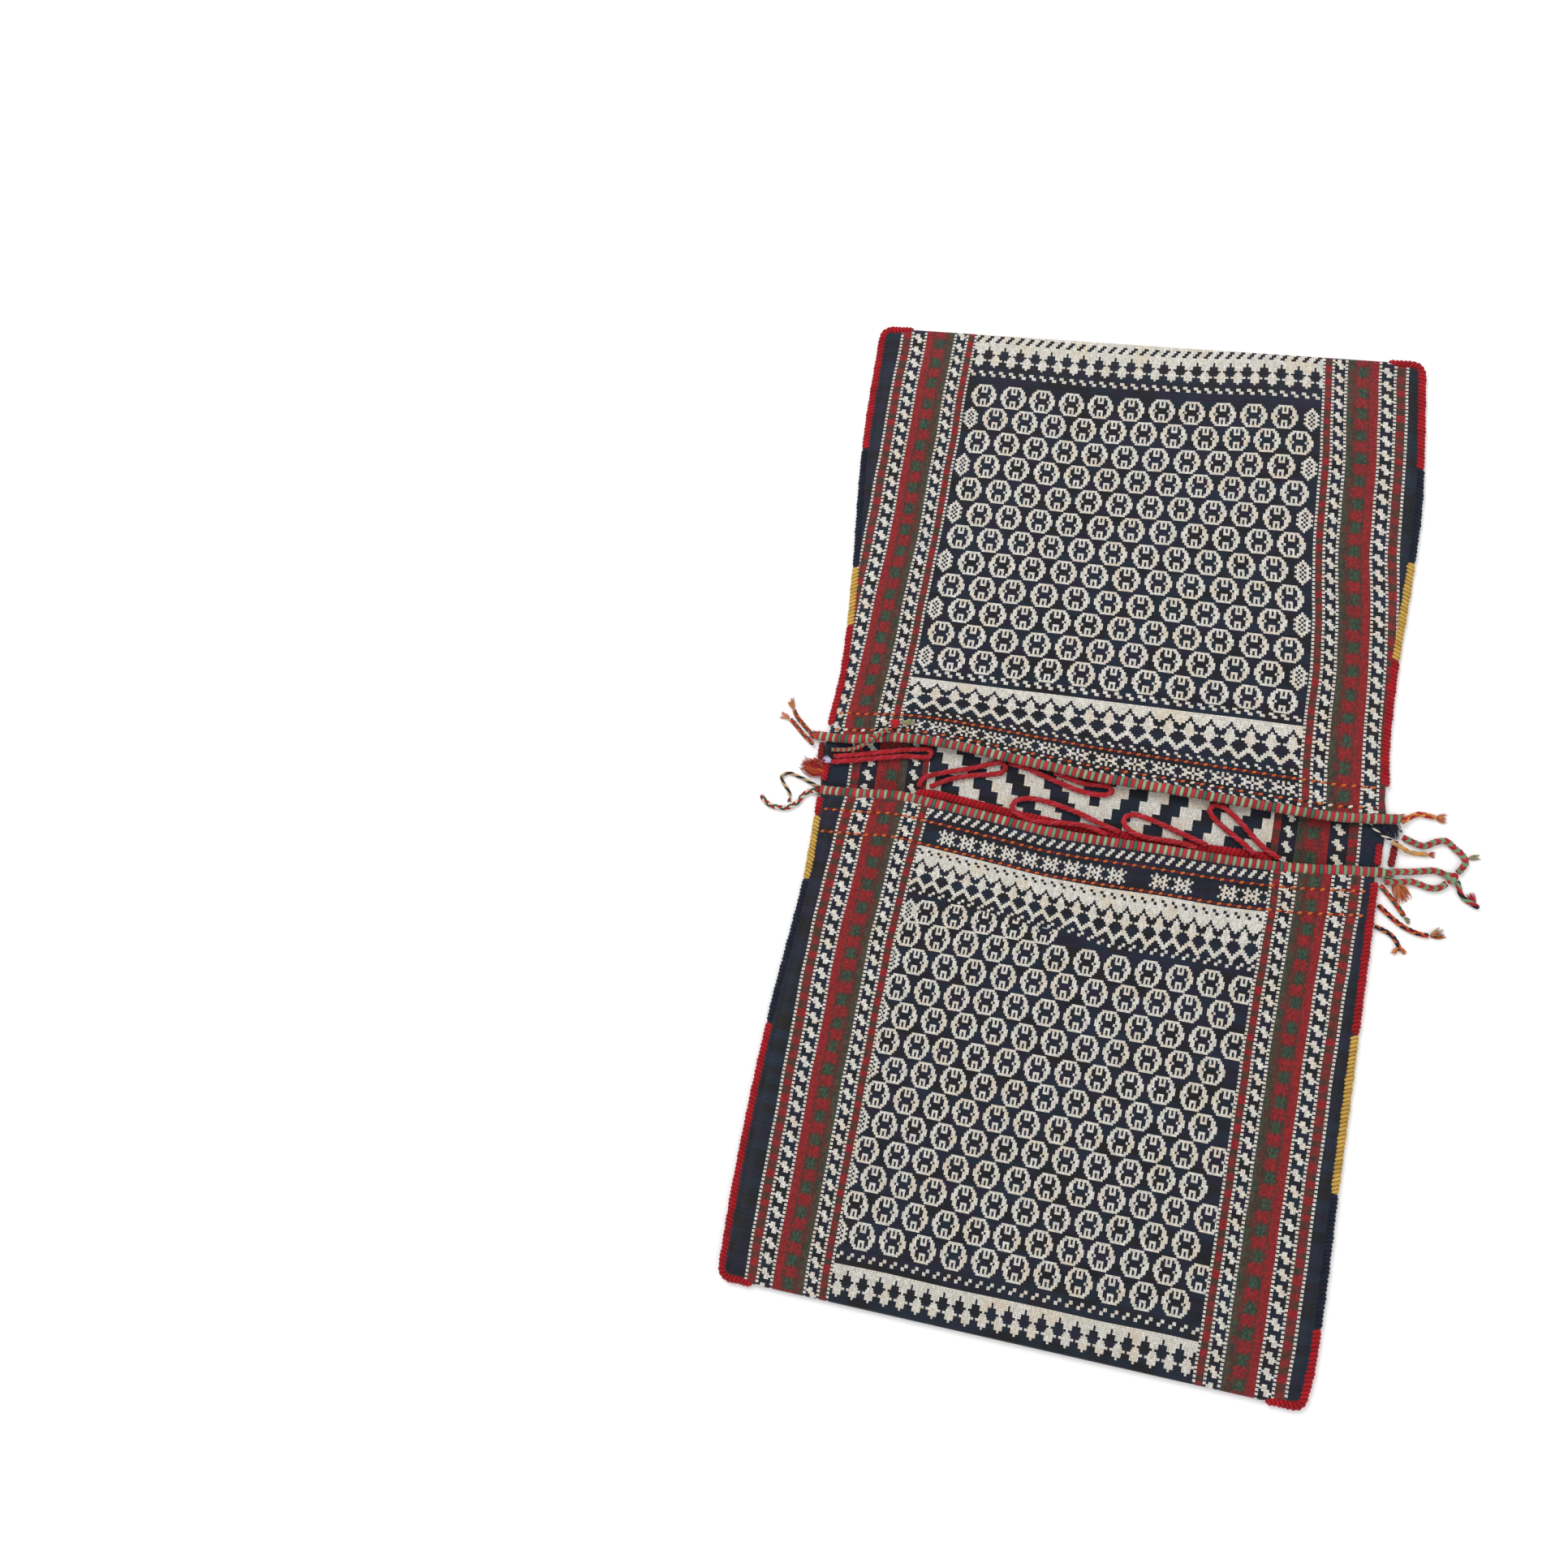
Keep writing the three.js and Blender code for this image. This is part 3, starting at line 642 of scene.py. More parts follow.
def wovenKnot(name, centre, radius, dyes, slotName, node):
    # one closed loop of yarn knotted as a trefoil and drawn tight
    bm = newYarn()
    rings, sides = 60, 8
    thick = radius * 0.36
    line = []
    for n in range(rings + 1):
        a = 2 * pi * n / rings
        flat = radius * 0.27
        line.append(Vector(((sin(a) + 2 * sin(2 * a)) * flat * 0.8, (cos(a) - 2 * cos(2 * a)) * flat * 0.8,
                            -sin(3 * a) * flat * 0.55)) + centre)
    frames = lineFrames(line)
    frames[0] = frames[-1] = lineFrames([line[-2], line[0], line[1]])[1]

    def place(ring, share):
        n = min(rings, round(ring))
        side, up = frames[n]
        return line[n % rings] + (side * cos(2 * pi * share) + up * sin(2 * pi * share) * 0.8) * thick
    gridTube(bm, rings, sides, place, lambda ring, share: (ring * 0.6, share))
    for face in bm.faces:
        face.material_index = (face.index // 30) % len(dyes)
    return finishPiece(bm, name, dyes, slotName, [node])


knots = {
    "tie_wrap_tail": wovenKnot("wrap_tail_knot", spot(-191, 68, 18.8), 5.5 * mm, [redWool], "red_wool",
                               "knot_wrap_tail"),
    "tie_link_right": wovenKnot("right_knot", spot(352.6, -6.6, 4.6), 6.4 * mm, [redWool, sageWool],
                                "braid_red_green", "knot_right"),
}
heldEnds = {
    "tie_wrap_tail": [knots["tie_wrap_tail"], tufts["tuft_wrap_tail"]],
    "tie_orange_left_a": [tufts["tuft_orange_left_a"]], "tie_orange_left_b": [tufts["tuft_orange_left_b"]],
    "tie_thin_left": [tufts["tuft_thin_left"]], "tie_orange_right": [tufts["tuft_orange_right"]],
    "tie_tan_right": [tufts["tuft_tan_right"]],
    "tie_link_right": [knots["tie_link_right"], tufts["tuft_link_right"]],
    "tie_tan_tip_right": [tufts["tuft_tan_tip_right"]], "tie_dark_right": [tufts["tuft_dark_right"]],
    "tie_eye_lower_right": [tufts["tuft_tassel_right"]],
}
for name, (across, plan, dyes, slotName, end, route) in tieEnds.items():
    piece, line, length = plied(f"{name}_cord", route, across * mm, plan, dyes, slotName, [name])
    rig.cord(piece, exit=line[0], length=length, diameter=across * mm, far_end=end, stiffness="limp", lay="loose",
            path=[tuple(p) for p in line], with_pieces=heldEnds.get(name, []))
print("tie ends laid:", len(tieEnds))

clothSet = {
    "weave": 2.7, "gape": 9.0, "foldGape": 2.0, "foldTaper": 60.0, "squareness": 10, "endUpper": 505.0,
    "endLower": -507.0, "columns": 96, "frontRows": 86, "foldRows": 10, "backRows": 168, "backHeight": 1.5,
}
leftSide = [(-507, -280), (-389, -280), (-246, -274), (-103, -262), (-20, -262), (60, -264), (111, -260),
            (160, -261), (233, -266), (369, -278), (505, -280)]
rightSide = [(-507, 279), (-460, 284), (-317, 286), (-174, 288), (-20, 290), (60, 291), (111, 286),
             (197, 286), (297, 290), (369, 290), (505, 279)]
upperMouth = [(-273, 47), (-251, 47), (-228, 48), (-207, 52), (-186, 55), (-155, 56), (-115, 54), (-75, 50),
              (-28, 46), (20, 42), (77, 40), (130, 38), (182, 36), (241, 35), (271, 38), (302, 42)]
lowerMouth = [(-259, -9), (-240, -9), (-216, -8), (-177, -5), (-137, -8), (-97, -12), (-58, -16), (-19, -20),
              (28, -21), (84, -21), (155, -22), (189, -21), (223, -19), (257, -15), (294, -11)]


def along(table, key):
    # smooth curve through (key, value) rows
    last = len(table) - 1
    i = next((n for n in range(last + 1) if table[n][0] > key), last) - 1
    i = min(max(i, 0), last - 1)
    (k0, v0), (k1, v1) = table[i], table[i + 1]

    def slope(n):
        a, b = table[max(0, n - 1)], table[min(last, n + 1)]
        return (b[1] - a[1]) / (b[0] - a[0])
    span = k1 - k0
    t = min(1.0, max(0.0, (key - k0) / span))
    return ((2 * t ** 3 - 3 * t ** 2 + 1) * v0 + (t ** 3 - 2 * t ** 2 + t) * span * slope(i)
            + (3 * t ** 2 - 2 * t ** 3) * v1 + (t ** 3 - t ** 2) * span * slope(i + 1))


def smooth(t):
    t = min(1.0, max(0.0, t))
    return t * t * (3 - 2 * t)


overcastWidth = 9.5
openInside = 11.3  # the pouches open this far inside the bag's outline
edgeSet = {"tucked": 5.0, "reach": 4.5, "middle": 20, "half": 34}  # the cloth's edge, under the overcast


def edges(y):
    # in the bridge the overcast is thin, so the cloth reaches further out under it
    inBridge = max(0.0, 1 - abs(y - edgeSet["middle"]) / edgeSet["half"])
    inset = edgeSet["tucked"] - edgeSet["reach"] * inBridge ** 0.5
    return along(leftSide, y) + inset, along(rightSide, y) - inset


def gapeAt(x, y):
    left, right = along(leftSide, y) + openInside, along(rightSide, y) - openInside
    half = (right - left) / 2
    share = min(1.0, abs(x - left - half) / half)
    return 0.4 + (clothSet["gape"] - 0.4) * sqrt(1 - share ** clothSet["squareness"])


def foldAt(x, end):
    left, right = edges(end)
    inset = min(x - left, right - x)
    keep = smooth((inset - 20) / 14)
    away = 1 if end > 0 else -1
    opening = min(clothSet["foldGape"], gapeAt(x, end))
    radius = (3 + opening) / 2
    line = end - away * 4.5 * (1 - keep)
    return opening, radius, line - away * (radius + 1.5), away


def frontHeight(x, y, end):
    # height of the middle of a pouch's front at x, y
    opening, _, centreY, _ = foldAt(x, end)
    share = smooth(abs(centreY - y) / clothSet["foldTaper"])
    height = opening + (gapeAt(x, y) - opening) * share
    sag = 0.7 * noise.noise(Vector((x / 70, y / 60, 3))) + 0.25 * noise.noise(Vector((x / 16, y / 13, 8)))
    return 4.5 + max(0.3, height + sag * min(1.0, height / 4))


def clothPoint(u, row):
    # a point of the strip's middle layer: u across, row along from the lower mouth round to the upper one
    s = clothSet
    lowerFold = row - s["frontRows"]
    back = lowerFold - s["foldRows"]
    upperFold = back - s["backRows"]
    upperFront = upperFold - s["foldRows"]

    def xAt(y):
        left, right = edges(y)
        return left + (right - left) * u

    def front(end, mouth, share):
        _, _, centreY, away = foldAt(xAt(end), end)
        x = xAt(along(mouth, xAt(0)))
        y0 = along(mouth, x) + away * 1.2
        y = y0 + (centreY - y0) * share
        x = xAt(y)
        return Vector((x, y, frontHeight(x, y, end)))

    def fold(end, turn):
        x = xAt(end)
        _, radius, centreY, away = foldAt(x, end)
        return Vector((x, centreY + away * radius * sin(turn), 1.5 + radius + radius * cos(turn)))

    if lowerFold <= 0:
        return front(s["endLower"], lowerMouth, row / s["frontRows"])
    if back < 0:
        return fold(s["endLower"], pi * lowerFold / s["foldRows"])
    if upperFold <= 0:
        share = back / s["backRows"]
        y0, y1 = foldAt(xAt(s["endLower"]), s["endLower"])[2], foldAt(xAt(s["endUpper"]), s["endUpper"])[2]
        y = y0 + (y1 - y0) * share
        return Vector((xAt(y), y, 1.5))
    if upperFront < 0:
        return fold(s["endUpper"], pi * (1 - upperFold / s["foldRows"]))
    return front(s["endUpper"], upperMouth, 1 - upperFront / s["frontRows"])


fieldLeft = {
    "upper": [(45, -187.5), (75, -186.5), (100, -184.5), (150, -182), (200, -180), (250, -178), (300, -176.5),
              (505, -174)],
    "lower": [(-510, -167), (-300, -161), (-150, -156), (-100, -151.7), (-50, -148), (-5, -142)],
    "bridge": [(-20, -148), (60, -150)],
}
fieldRight = {
    "upper": [(45, 208), (60, 207), (100, 205), (150, 204.2), (200, 202.8), (255, 197.5), (300, 192.5),
              (350, 190), (400, 188), (450, 184.5), (505, 181)],
    "lower": [(-510, 179), (-150, 186.9), (-100, 189), (-60, 191), (-30, 191.7), (-5, 192)],
    "bridge": [(-20, 187), (60, 187)],
}
borderScale = {
    "upper": ([(45, 1.07), (100, 1.05), (300, 1.0), (505, 1.0)], [(45, 1.05), (200, 1.0), (505, 1.0)]),
    "lower": ([(-510, 1.04), (-100, 1.08), (0, 1.08)], [(-510, 1.02), (0, 1.02)]),
    "bridge": ([(-20, 1.04), (60, 1.04)], [(-20, 1.02), (60, 1.02)]),
}
fieldUnits = 400.0  # the patterned field's width in pattern units
rowTall = 2.257  # one row of stitches
stitchesPerUnit = 0.83


def weaveAt(place, region):
    # (across, along, from the mouth) of the pattern at a point of the cloth
    x, y = place.x, place.y
    x += 1.1 * noise.noise(Vector((x / 60, y / 45, 21)))
    y += 1.3 * noise.noise(Vector((x / 80, y / 70, 31)))
    left, right = along(fieldLeft[region], y), along(fieldRight[region], y)
    leftScale, rightScale = (along(t, y) for t in borderScale[region])
    if x < left:
        across = (x - left) / leftScale
    elif x > right:
        across = fieldUnits + (x - right) / rightScale
    else:
        across = fieldUnits * (x - left) / (right - left)
    level, fromMouth = y, 0.0
    if region == "upper":
        mouth = along(upperMouth, x)
        up = smooth((y - 140) / 290)
        tilt = smooth((x - 10) / 150) * (8 * up - 3) + smooth((-x - 40) / 110) * 3 * up
        tilt *= smooth((y - 122) / 14)
        level = y - tilt if y > 119 else 46 + 73 * (y - mouth) / (119 - mouth)
    if region == "lower":
        fromMouth = along(lowerMouth, x) - y
        squeeze = 1 - 0.15 * smooth((x + 5) / 60)
        if fromMouth > 42:
            fromMouth = 42 + (fromMouth - 42) * squeeze
    return Vector((across, level, fromMouth))


# a half chart's first column is the middle of its figure; the other charts are whole
# outward from its middle row
rosetteHalf = ["...#.##", "....###", "##..##.", ".#..##.", ".#.##..", "####..."]
latticeHalf = ["#.##", ".##.", "#.##", ".##.", "##..", "#..."]
# a light star over a dark one half a step aside
starHalf = ["########", "########", "#######.", "#######.", "####....", "####....", "#.......", "###.....",
            "####....", "#######.", "####....", "####....", "#......."]
treeHalf = ["########", "########", ".#######", "..######", "#...####", "###....#", "###.....", "####....",
            "#######.", "####....", "##......", "#.......", "###.....", "#####...", "..#####.", "....####",
            "......##"]
fallingDash = ["####......", "...####..."]
risingDash = ["....####..", "..####....", "####......"]
thinFalling = [".###......", "....###..."]
thinRising = [".....###..", "..###....."]
snowWide = ["#..#.#.#..#", ".##..#..##.", "..###.###..", ".##..#..##.", "#..#.#.#..#"]
snowTall = ["..#...#..", "#.##.##.#", ".##.#.##.", "..#####..", ".##.#.##.", "#.##.##.#", "..#...#.."]
hookFigure = [".##..", "###..", ".###.", "..###", "..##."]  # from its foot upwards
redStar = [".##.##.", "#######", ".#####.", "#######", ".##.##."]
greenStar = [".#.#.", "#####", ".###.", "#####", ".#.#."]


class Weave(Dye):
    # the flat-woven wool: pattern values that the four faces of the cloth share
    def __init__(self, name):
        super().__init__(name, 0.9, 0.12)
        self.across, self.level, self.fromMouth = self.parts(self.layer("weave"))
        self.row = floor(self.level / rowTall)
        # how far outside the field's edge
        self.outward = self.math("MAXIMUM", 0 - self.across, self.across - fieldUnits)

    def repeat(self, chart, top, tall, count, width, shift=0.0, down=None, folded=False):
        # a chart repeated across the field: its first row at top, each row tall,
        # count repeats of width stitches
        spread = (self.across * (count / fieldUnits) + shift) % 1 * width
        if folded:
            spread = abs(spread - width / 2)
        down = (top - self.level) / tall if down is None else down
        return self.chart(chart, floor(spread), floor(down))

    def borders(self, dotted):
        # masks of the side stripes: cream, bright red, muted ground, green
        out, level = self.outward, self.level
        right = self.across > fieldUnits / 2
        dots = 0
        for place in dotted:
            dots = self.math("COMPARE", out, place, 1.35) + dots
        cream = dots * (level / 3.9 % 1 < 0.62)
        # narrow checked stripes
        inner, outer = self.between(out, 1.5, 8.1), self.between(out, 69.8, 78.2)
        checked = inner + outer
        wander = self.cloud(self.stretched(self.layer("weave"), (0.02, 0.05, 0.0)), 1.0, 2.0, 0.6)
        turn = level / 14.6 + wander * 0.8 + inner * 0.45
        red = checked * (turn % 1 < 0.5) * (self.dice(floor(turn), inner, 6.0) * 0.75 + 0.4)
        # light hooks on a dark stripe, leaning the same way on both sides
        for low, high, shift in ((10.9, 20.8, 0.0), (55.6, 67.0, 0.43)):
            stitch = floor((out - low) / ((high - low) / 5))
            stitch = right * (4 - stitch * 2) + stitch
            rise = floor((level / 14.9 + shift + right * 0.3) % 1 * 7)
            cream = self.between(out, low, high) * self.chart(hookFigure, stitch, rise) + cream
        # the wide stripe: bright outer edge, and red and green stars by turns down its middle
        wide = self.between(out, 23.4, 52.8)
        star = (level / 23.4) % 1
        bigRise, smallRise = floor(star * 10.2), floor((star + 0.52) % 1 * 10.2)
        big = self.chart(redStar, floor((out - 31.0) / 1.9), bigRise)
        small = self.chart(greenStar, floor((out - 33.0) / 2.0), smallRise)
        flame = self.cloud(self.stretched(self.layer("weave"), (0.09, 0.12, 0.0)), 1.5, 3.0, 0.8)
        edge = wide * (out + flame * 10 > 50.0)
        mottle = self.cloud(self.stretched(self.layer("weave"), (0.3, 0.36, 0.0)), 1.3, 2.0, 0.7)
        red = self.math("MAXIMUM", edge, wide * big) * self.math("MINIMUM", mottle * 1.7, 1.0) + red
        green = wide * small * 0.85 + wide * (out + flame * 22 < 39.0) * mottle
        return cream, self.math("MINIMUM", red, 1.0), checked + wide, green

    def cloth(self, cream, red, muted, green):
        # mixes the yarns' colours and raises each stitch
        fine = self.cloud(self.place(), 900.0, 2.0, 0.6)
        abrash = self.cloud(self.stretched(self.layer("weave"), (0.011, 0.05, 0.0)), 1.0, 2.0, 0.6)
        stitch = floor(self.across * stitchesPerUnit)
        perStitch = self.dice(stitch, self.row)
        perPatch = self.dice(floor(self.across / 24), floor(self.level / 9.2), 4.0)
        dark = self.mix((abrash - 0.42) * 5, tint("#0f1119"), tint("#1b2136"))
        dark = self.mix(self.between(perPatch, 0.8, 1.0) * 0.5, dark, tint("#231a38"))
        dark = self.mix(self.between(perPatch, 0.0, 0.22) * 0.5, dark, tint("#132a3c"))
        dark = self.mix(self.between(perPatch, 0.5, 0.64) * 0.5, dark, tint("#1c1512"))
        light = self.mix(perStitch, tint("#d6cfc2"), tint("#f5f2ea"))
        warm = self.dice(floor(self.across / 17), floor(self.level / 12), 9.0)
        light = self.mix(self.between(warm, 0.72, 1.0) * 0.4, light, tint("#ead6b8"))
        light = self.mix(self.between(warm, 0.0, 0.2) * 0.3, light, tint("#dcdccb"))
        reds = self.mix(perStitch, tint("#84141c"), tint("#a82026"))
        ground = self.mix(perStitch, tint("#2f3327"), tint("#4e372b"))
        fleck = self.dice(floor(self.across / 5), floor(self.level / 7), 3.0)
        ground = self.mix(abrash * fleck * 1.3, ground, tint("#7c2626"))
        greens = self.mix(perStitch, tint("#1c3c30"), tint("#34604a"))
        colour = dark
        for mask, over in ((muted, ground), (red, reds), (green, greens), (cream, light)):
            if isinstance(mask, Shade):
                colour = self.mix(mask, colour, over)
        up = self.level / rowTall % 1
        lean = self.row % 2 * 0.7 - 0.35
        across = (self.across * stitchesPerUnit + up * lean) % 1
        bulge = 1 - self.math("POWER", across * 2 - 1, 2.0)
        bulge = bulge * (1 - self.math("POWER", up * 2 - 1, 2.0) * 0.8)
        shadow = self.math("MULTIPLY_ADD", bulge, 0.5, 0.58)
        colour = self.tone(colour, shadow * (fine * 0.5 + 0.75) * (perStitch * 0.14 + 0.93))
        return self.dress(colour, bulge + fine * 0.6, 0.0006, 1.0)


allDots = (0.0, 9.4, 22.0, 54.1, 68.3, 79.6)


def rosettes(weave, rowCount, firstLevel, pitch, perRow, starts, last, half):
    # staggered rows of rosettes, with a lattice figure where a row begins or ends on a half
    step = (weave.level - firstLevel) / pitch + 0.5
    k = floor(step)
    inRows = weave.between(k, -0.5, rowCount - 0.5)
    odd = k % 2
    q = weave.across * (perRow / fieldUnits)
    place = q - (starts[0] + odd * (starts[1] - starts[0])) + 0.5
    n = floor(place)
    jog = (weave.dice(n, k, 2.0) - 0.5) * 0.5
    rise = (weave.dice(n, k, 3.0) - 0.5) * 0.5
    column = floor(place % 1 * 15 - 1 + jog)
    row = floor(step % 1 * 11.5 - 0.25 + rise)
    figure = weave.chart(rosetteHalf, abs(column - 6), abs(row - 5))
    valid = inRows * (n > -0.5) * (n < last[0] + 0.5 + odd * (last[1] - last[0]))
    made = figure * valid
    covered = valid * weave.between(column, 0.5, 11.5)
    for side, parity in half:
        centre = side if side > 0 else perRow + side
        c = floor((q - centre) * 14 + 3.5)
        small = weave.chart(latticeHalf, abs(c - 3), abs(row - 5))
        made = small * inRows * weave.same(odd, parity) * (1 - covered) + made
    return made


def dyeUpperPouch():
    weave = Weave("upperPouchWeave")
    level = weave.level
    field = weave.between(weave.across, 1.2, fieldUnits - 1.2)
    cream = rosettes(weave, 12, 143.0, 25.95, 11.87, (16.5 / 14, 9.5 / 14), (10, 10),
                     ((0.33, 0), (-0.33, 1)))
    edge = weave.between(level, 491.5, 512) * (1 - weave.repeat(risingDash, 499.4, 2.6, 33, 10))
    cream = edge + weave.repeat(starHalf, 491.5, 2.3, 21.5, 16, folded=True) + cream
    cream = weave.repeat(fallingDash, 456.9, 3.2, 34, 10) + cream
    cream = weave.repeat(fallingDash, 129.8, 3.2, 34, 10) + cream
    cream = weave.repeat(treeHalf, 119.3, 2.15, 20, 16, folded=True) + cream
    cream = weave.repeat(thinFalling, 80.6, 2.3, 36, 10) + cream
    cream = weave.repeat(snowWide, 69.0, 2.3, 14, 12) + cream
    cream = weave.repeat(thinFalling, 52.6, 2.3, 38, 10, 0.3) + cream
    stripes, red, muted, green = weave.borders(allDots)
    weave.cloth(cream * field + stripes, red, muted, green)
    return weave.material


def dyeLowerPouch():
    weave = Weave("lowerPouchWeave")
    level, away = weave.level, weave.fromMouth
    field = weave.between(weave.across, 1.2, fieldUnits - 1.2)
    free = away > 94
    cream = rosettes(weave, 12, -437.9, 26.9, 11.69, (11.5 / 14, 5.5 / 14), (10, 11), ((0.05, 0),))
    extra = rosettes(weave, 1, -118.5, 25.0, 11.69, (11.5 / 14, 11.5 / 14), (4, 4), ((0.22, 0),))
    cream = cream * free + extra * free * (weave.across < 185)
    band = weave.repeat(risingDash, 0, 1, 35, 10, 0.2, (away - 6.0) / 2.6)
    band = band + weave.repeat(thinRising, 0, 1, 34, 10, 0.0, (away - 88.0) / 2.7)
    snow = weave.repeat(snowTall, 0, 1, 16, 10, 0.2, (away - 23.2) / 2.3)
    missing = weave.dice(floor(weave.across * (16 / fieldUnits) + 0.2), 0.0, 5.0) > 0.86
    dashes = weave.repeat(thinFalling, 0, 1, 35, 10, 0.0, (away - 47.6) / 2.6)
    whole = weave.between(away, 44.5, 57.0) * (1 - dashes)
    band = band + snow * (1 - missing) + whole
    band = band + weave.repeat(treeHalf[2:], 0, 1, 21.5, 16, 0.0, (away - 57.0) / 2.05, True)
    band = band * (1 - free)
    low = weave.repeat(thinRising, -455.0, 3.4, 33, 10)
    low = low + weave.repeat(starHalf, -467.5, 2.5, 22, 16, folded=True)
    stripes, red, muted, green = weave.borders(allDots)
    weave.cloth((cream + band + low) * field + stripes, red, muted, green)
    return weave.material


def dyeBridge():
    weave = Weave("bridgeWeave")
    field = weave.between(weave.across, -2.0, fieldUnits + 1.0)
    fromMiddle = abs(weave.across * (337 / fieldUnits) - 167)
    rise = floor((weave.level - 25) / 11)
    blocks = ((fromMiddle - 12 - rise * 7) / 39 % 1) < 0.52
    stripes, red, muted, green = weave.borders((79.6,))
    weave.cloth(blocks * field + stripes, red, muted, green)
    return weave.material


def dyeBack():
    # plain weave of dark stripes on the side that nobody sees
    weave = Weave("backWeave")
    stripe = (weave.across / 46) % 1
    red = weave.between(stripe, 0.1, 0.28) + weave.between(stripe, 0.55, 0.6)
    muted = weave.between(stripe, 0.5, 0.86)
    weave.cloth(weave.between(stripe, 0.38, 0.4), red, muted, 0)
    return weave.material


pouchDyes = [dyeUpperPouch(), dyeLowerPouch(), dyeBack(), dyeBack(), dyeBack(), dyeBridge()]
print("weaves dyed")


def makeCloth():
    s = clothSet
    rows = 2 * s["frontRows"] + 2 * s["foldRows"] + s["backRows"]
    bm = bmesh.new()
    grid = bmesh.ops.create_grid(bm, x_segments=s["columns"], y_segments=rows, size=0.5)["verts"]
    weave = bm.loops.layers.float_vector.new("weave")
    lastLower = s["frontRows"] + s["foldRows"] / 2
    firstUpper = rows - lastLower
    spots = {v: (v.co.x + 0.5, (v.co.y + 0.5) * rows) for v in grid}
    for v, (u, row) in spots.items():
        v.co = clothPoint(u, row)
    for face in bm.faces:
        middle = sum(spots[v][1] for v in face.verts) / 4
        face.smooth = True
        face.material_index = 1 if middle < lastLower else 0 if middle > firstUpper else 2
        centre = face.calc_center_median()
        region = ("upper", "lower", "bridge")[face.material_index]
        for loop in face.loops:
            loop[weave] = weaveAt(loop.vert.co, region)
    for v in grid:
        v.co = (v.co + clothOrigin) * mm
    mesh = bpy.data.meshes.new("bag_weave")
    bm.normal_update()
    if sum(f.normal.z for f in bm.faces if f.material_index == 0) < 0:
        bmesh.ops.reverse_faces(bm, faces=bm.faces[:])
    bm.to_mesh(mesh)
    bm.free()
    for dye in pouchDyes:
        mesh.materials.append(dye)
    cloth = bpy.data.objects.new("bag_weave", mesh)
    scene.collection.objects.link(cloth)
    thick = cloth.modifiers.new("thickness", "SOLIDIFY")
    thick.thickness = s["weave"] * mm
    thick.offset = 0
    thick.material_offset = 3
    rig.ride(cloth, root)
    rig.slot(cloth, "woven_cloth")
    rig.replaces(cloth, "bag_cloth")
    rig.sheet(cloth, flat=(0.555, 1.95), held="folded", rests_on=[])


makeCloth()
print("cloth woven")


def twinedRow(name, levelAt, end, dyes, length):
    # two yarns twined across the cloth: they show as raised lozenges, one colour and then the other
    bm = newYarn()
    x = edges(levelAt(-265))[0] + 8
    n = 0
    while x < edges(levelAt(x))[1] - 8:
        y = levelAt(x) + 0.5 * noise.noise(Vector((x / 9, end, 5)))
        slope = (levelAt(x + 3) - levelAt(x - 3)) / 6
        centre = spot(x, y, frontHeight(x, y, end) + 1.45)
        made = bmesh.ops.create_uvsphere(bm, u_segments=8, v_segments=6, radius=1)["verts"]
        lean = slope + 0.35
        big = 1 if n % 2 == 0 else 0.86
        for v in made:
            a, b = v.co.x * length * 0.56 * big, v.co.y * 1.35 * big
            turned = Vector((a * cos(lean) - b * sin(lean), a * sin(lean) + b * cos(lean), v.co.z * 0.95))
            v.co = turned * mm + centre
        for face in {f for v in made for f in v.link_faces}:
            face.material_index = n % len(dyes)
            face.smooth = True
        x += length
        n += 1
    return finishPiece(bm, name, dyes, "orange_yarn")


twinedSet = {"upper": (73.0, 55.0), "lower": (19.3, 42.6), "length": 4.6}
upperTwines = [orangeWool, darkRedWool], [orangeWool, darkWool, creamWool, darkRedWool]
for level, dyes in zip(twinedSet["upper"], upperTwines):
    def upperLevel(x, level=level):
        mouth = along(upperMouth, x)
        return mouth + (level - 46) * (119 - mouth) / 73
    twinedRow(f"upper_twining_{level:.0f}", upperLevel, clothSet["endUpper"], dyes, twinedSet["length"])
for away in twinedSet["lower"]:
    def lowerLevel(x, away=away):
        return along(lowerMouth, x) - away
    twinedRow(f"lower_twining_{away:.0f}", lowerLevel, clothSet["endLower"], [orangeWool, darkRedWool],
              twinedSet["length"])
print("twined rows laid")


def wrappedEdge(name, points, plan, dyes, slotName, nodes):
    # a tube of many turns of yarn: each turn a rounded rib, slanting as it goes round
    line, length = smoothLine([spot(*p) for p in points], plan["turn"] * mm / plan["perTurn"])
    frames = lineFrames(line)
    rings = len(line) - 1
    turns = max(1, round(length / mm / plan["turn"]))
    wide, tall = plan["width"] / 2 * mm, plan["height"] / 2 * mm
    bm = newYarn()

    def phase(ring, share):
        return ring / rings * turns + plan["slant"] * cos(2 * pi * share)

    def place(ring, share):
        n = min(rings, round(ring))
        side, up = frames[n]
        rib = abs(sin(pi * phase(n, share))) ** 0.6
        spotInNoise = Vector((phase(n, share) * 0.8, wide * 900, plan["turn"]))
        uneven = 1 + plan.get("lumps", 0.05) * noise.noise(spotInNoise)
        reach = (1 - plan["depth"] * (1 - rib)) * uneven
        end = min(n, rings - n) / plan["perTurn"]
        if end < 1:
            reach *= 0.55 + 0.45 * sqrt(1 - (1 - end) ** 2)
        return line[n] + (side * cos(2 * pi * share) * wide + up * sin(2 * pi * share) * tall) * reach
    gridTube(bm, rings, plan["sides"], place, lambda ring, share: (phase(ring, share), share * 4))
    return finishPiece(bm, name, dyes, slotName, nodes)


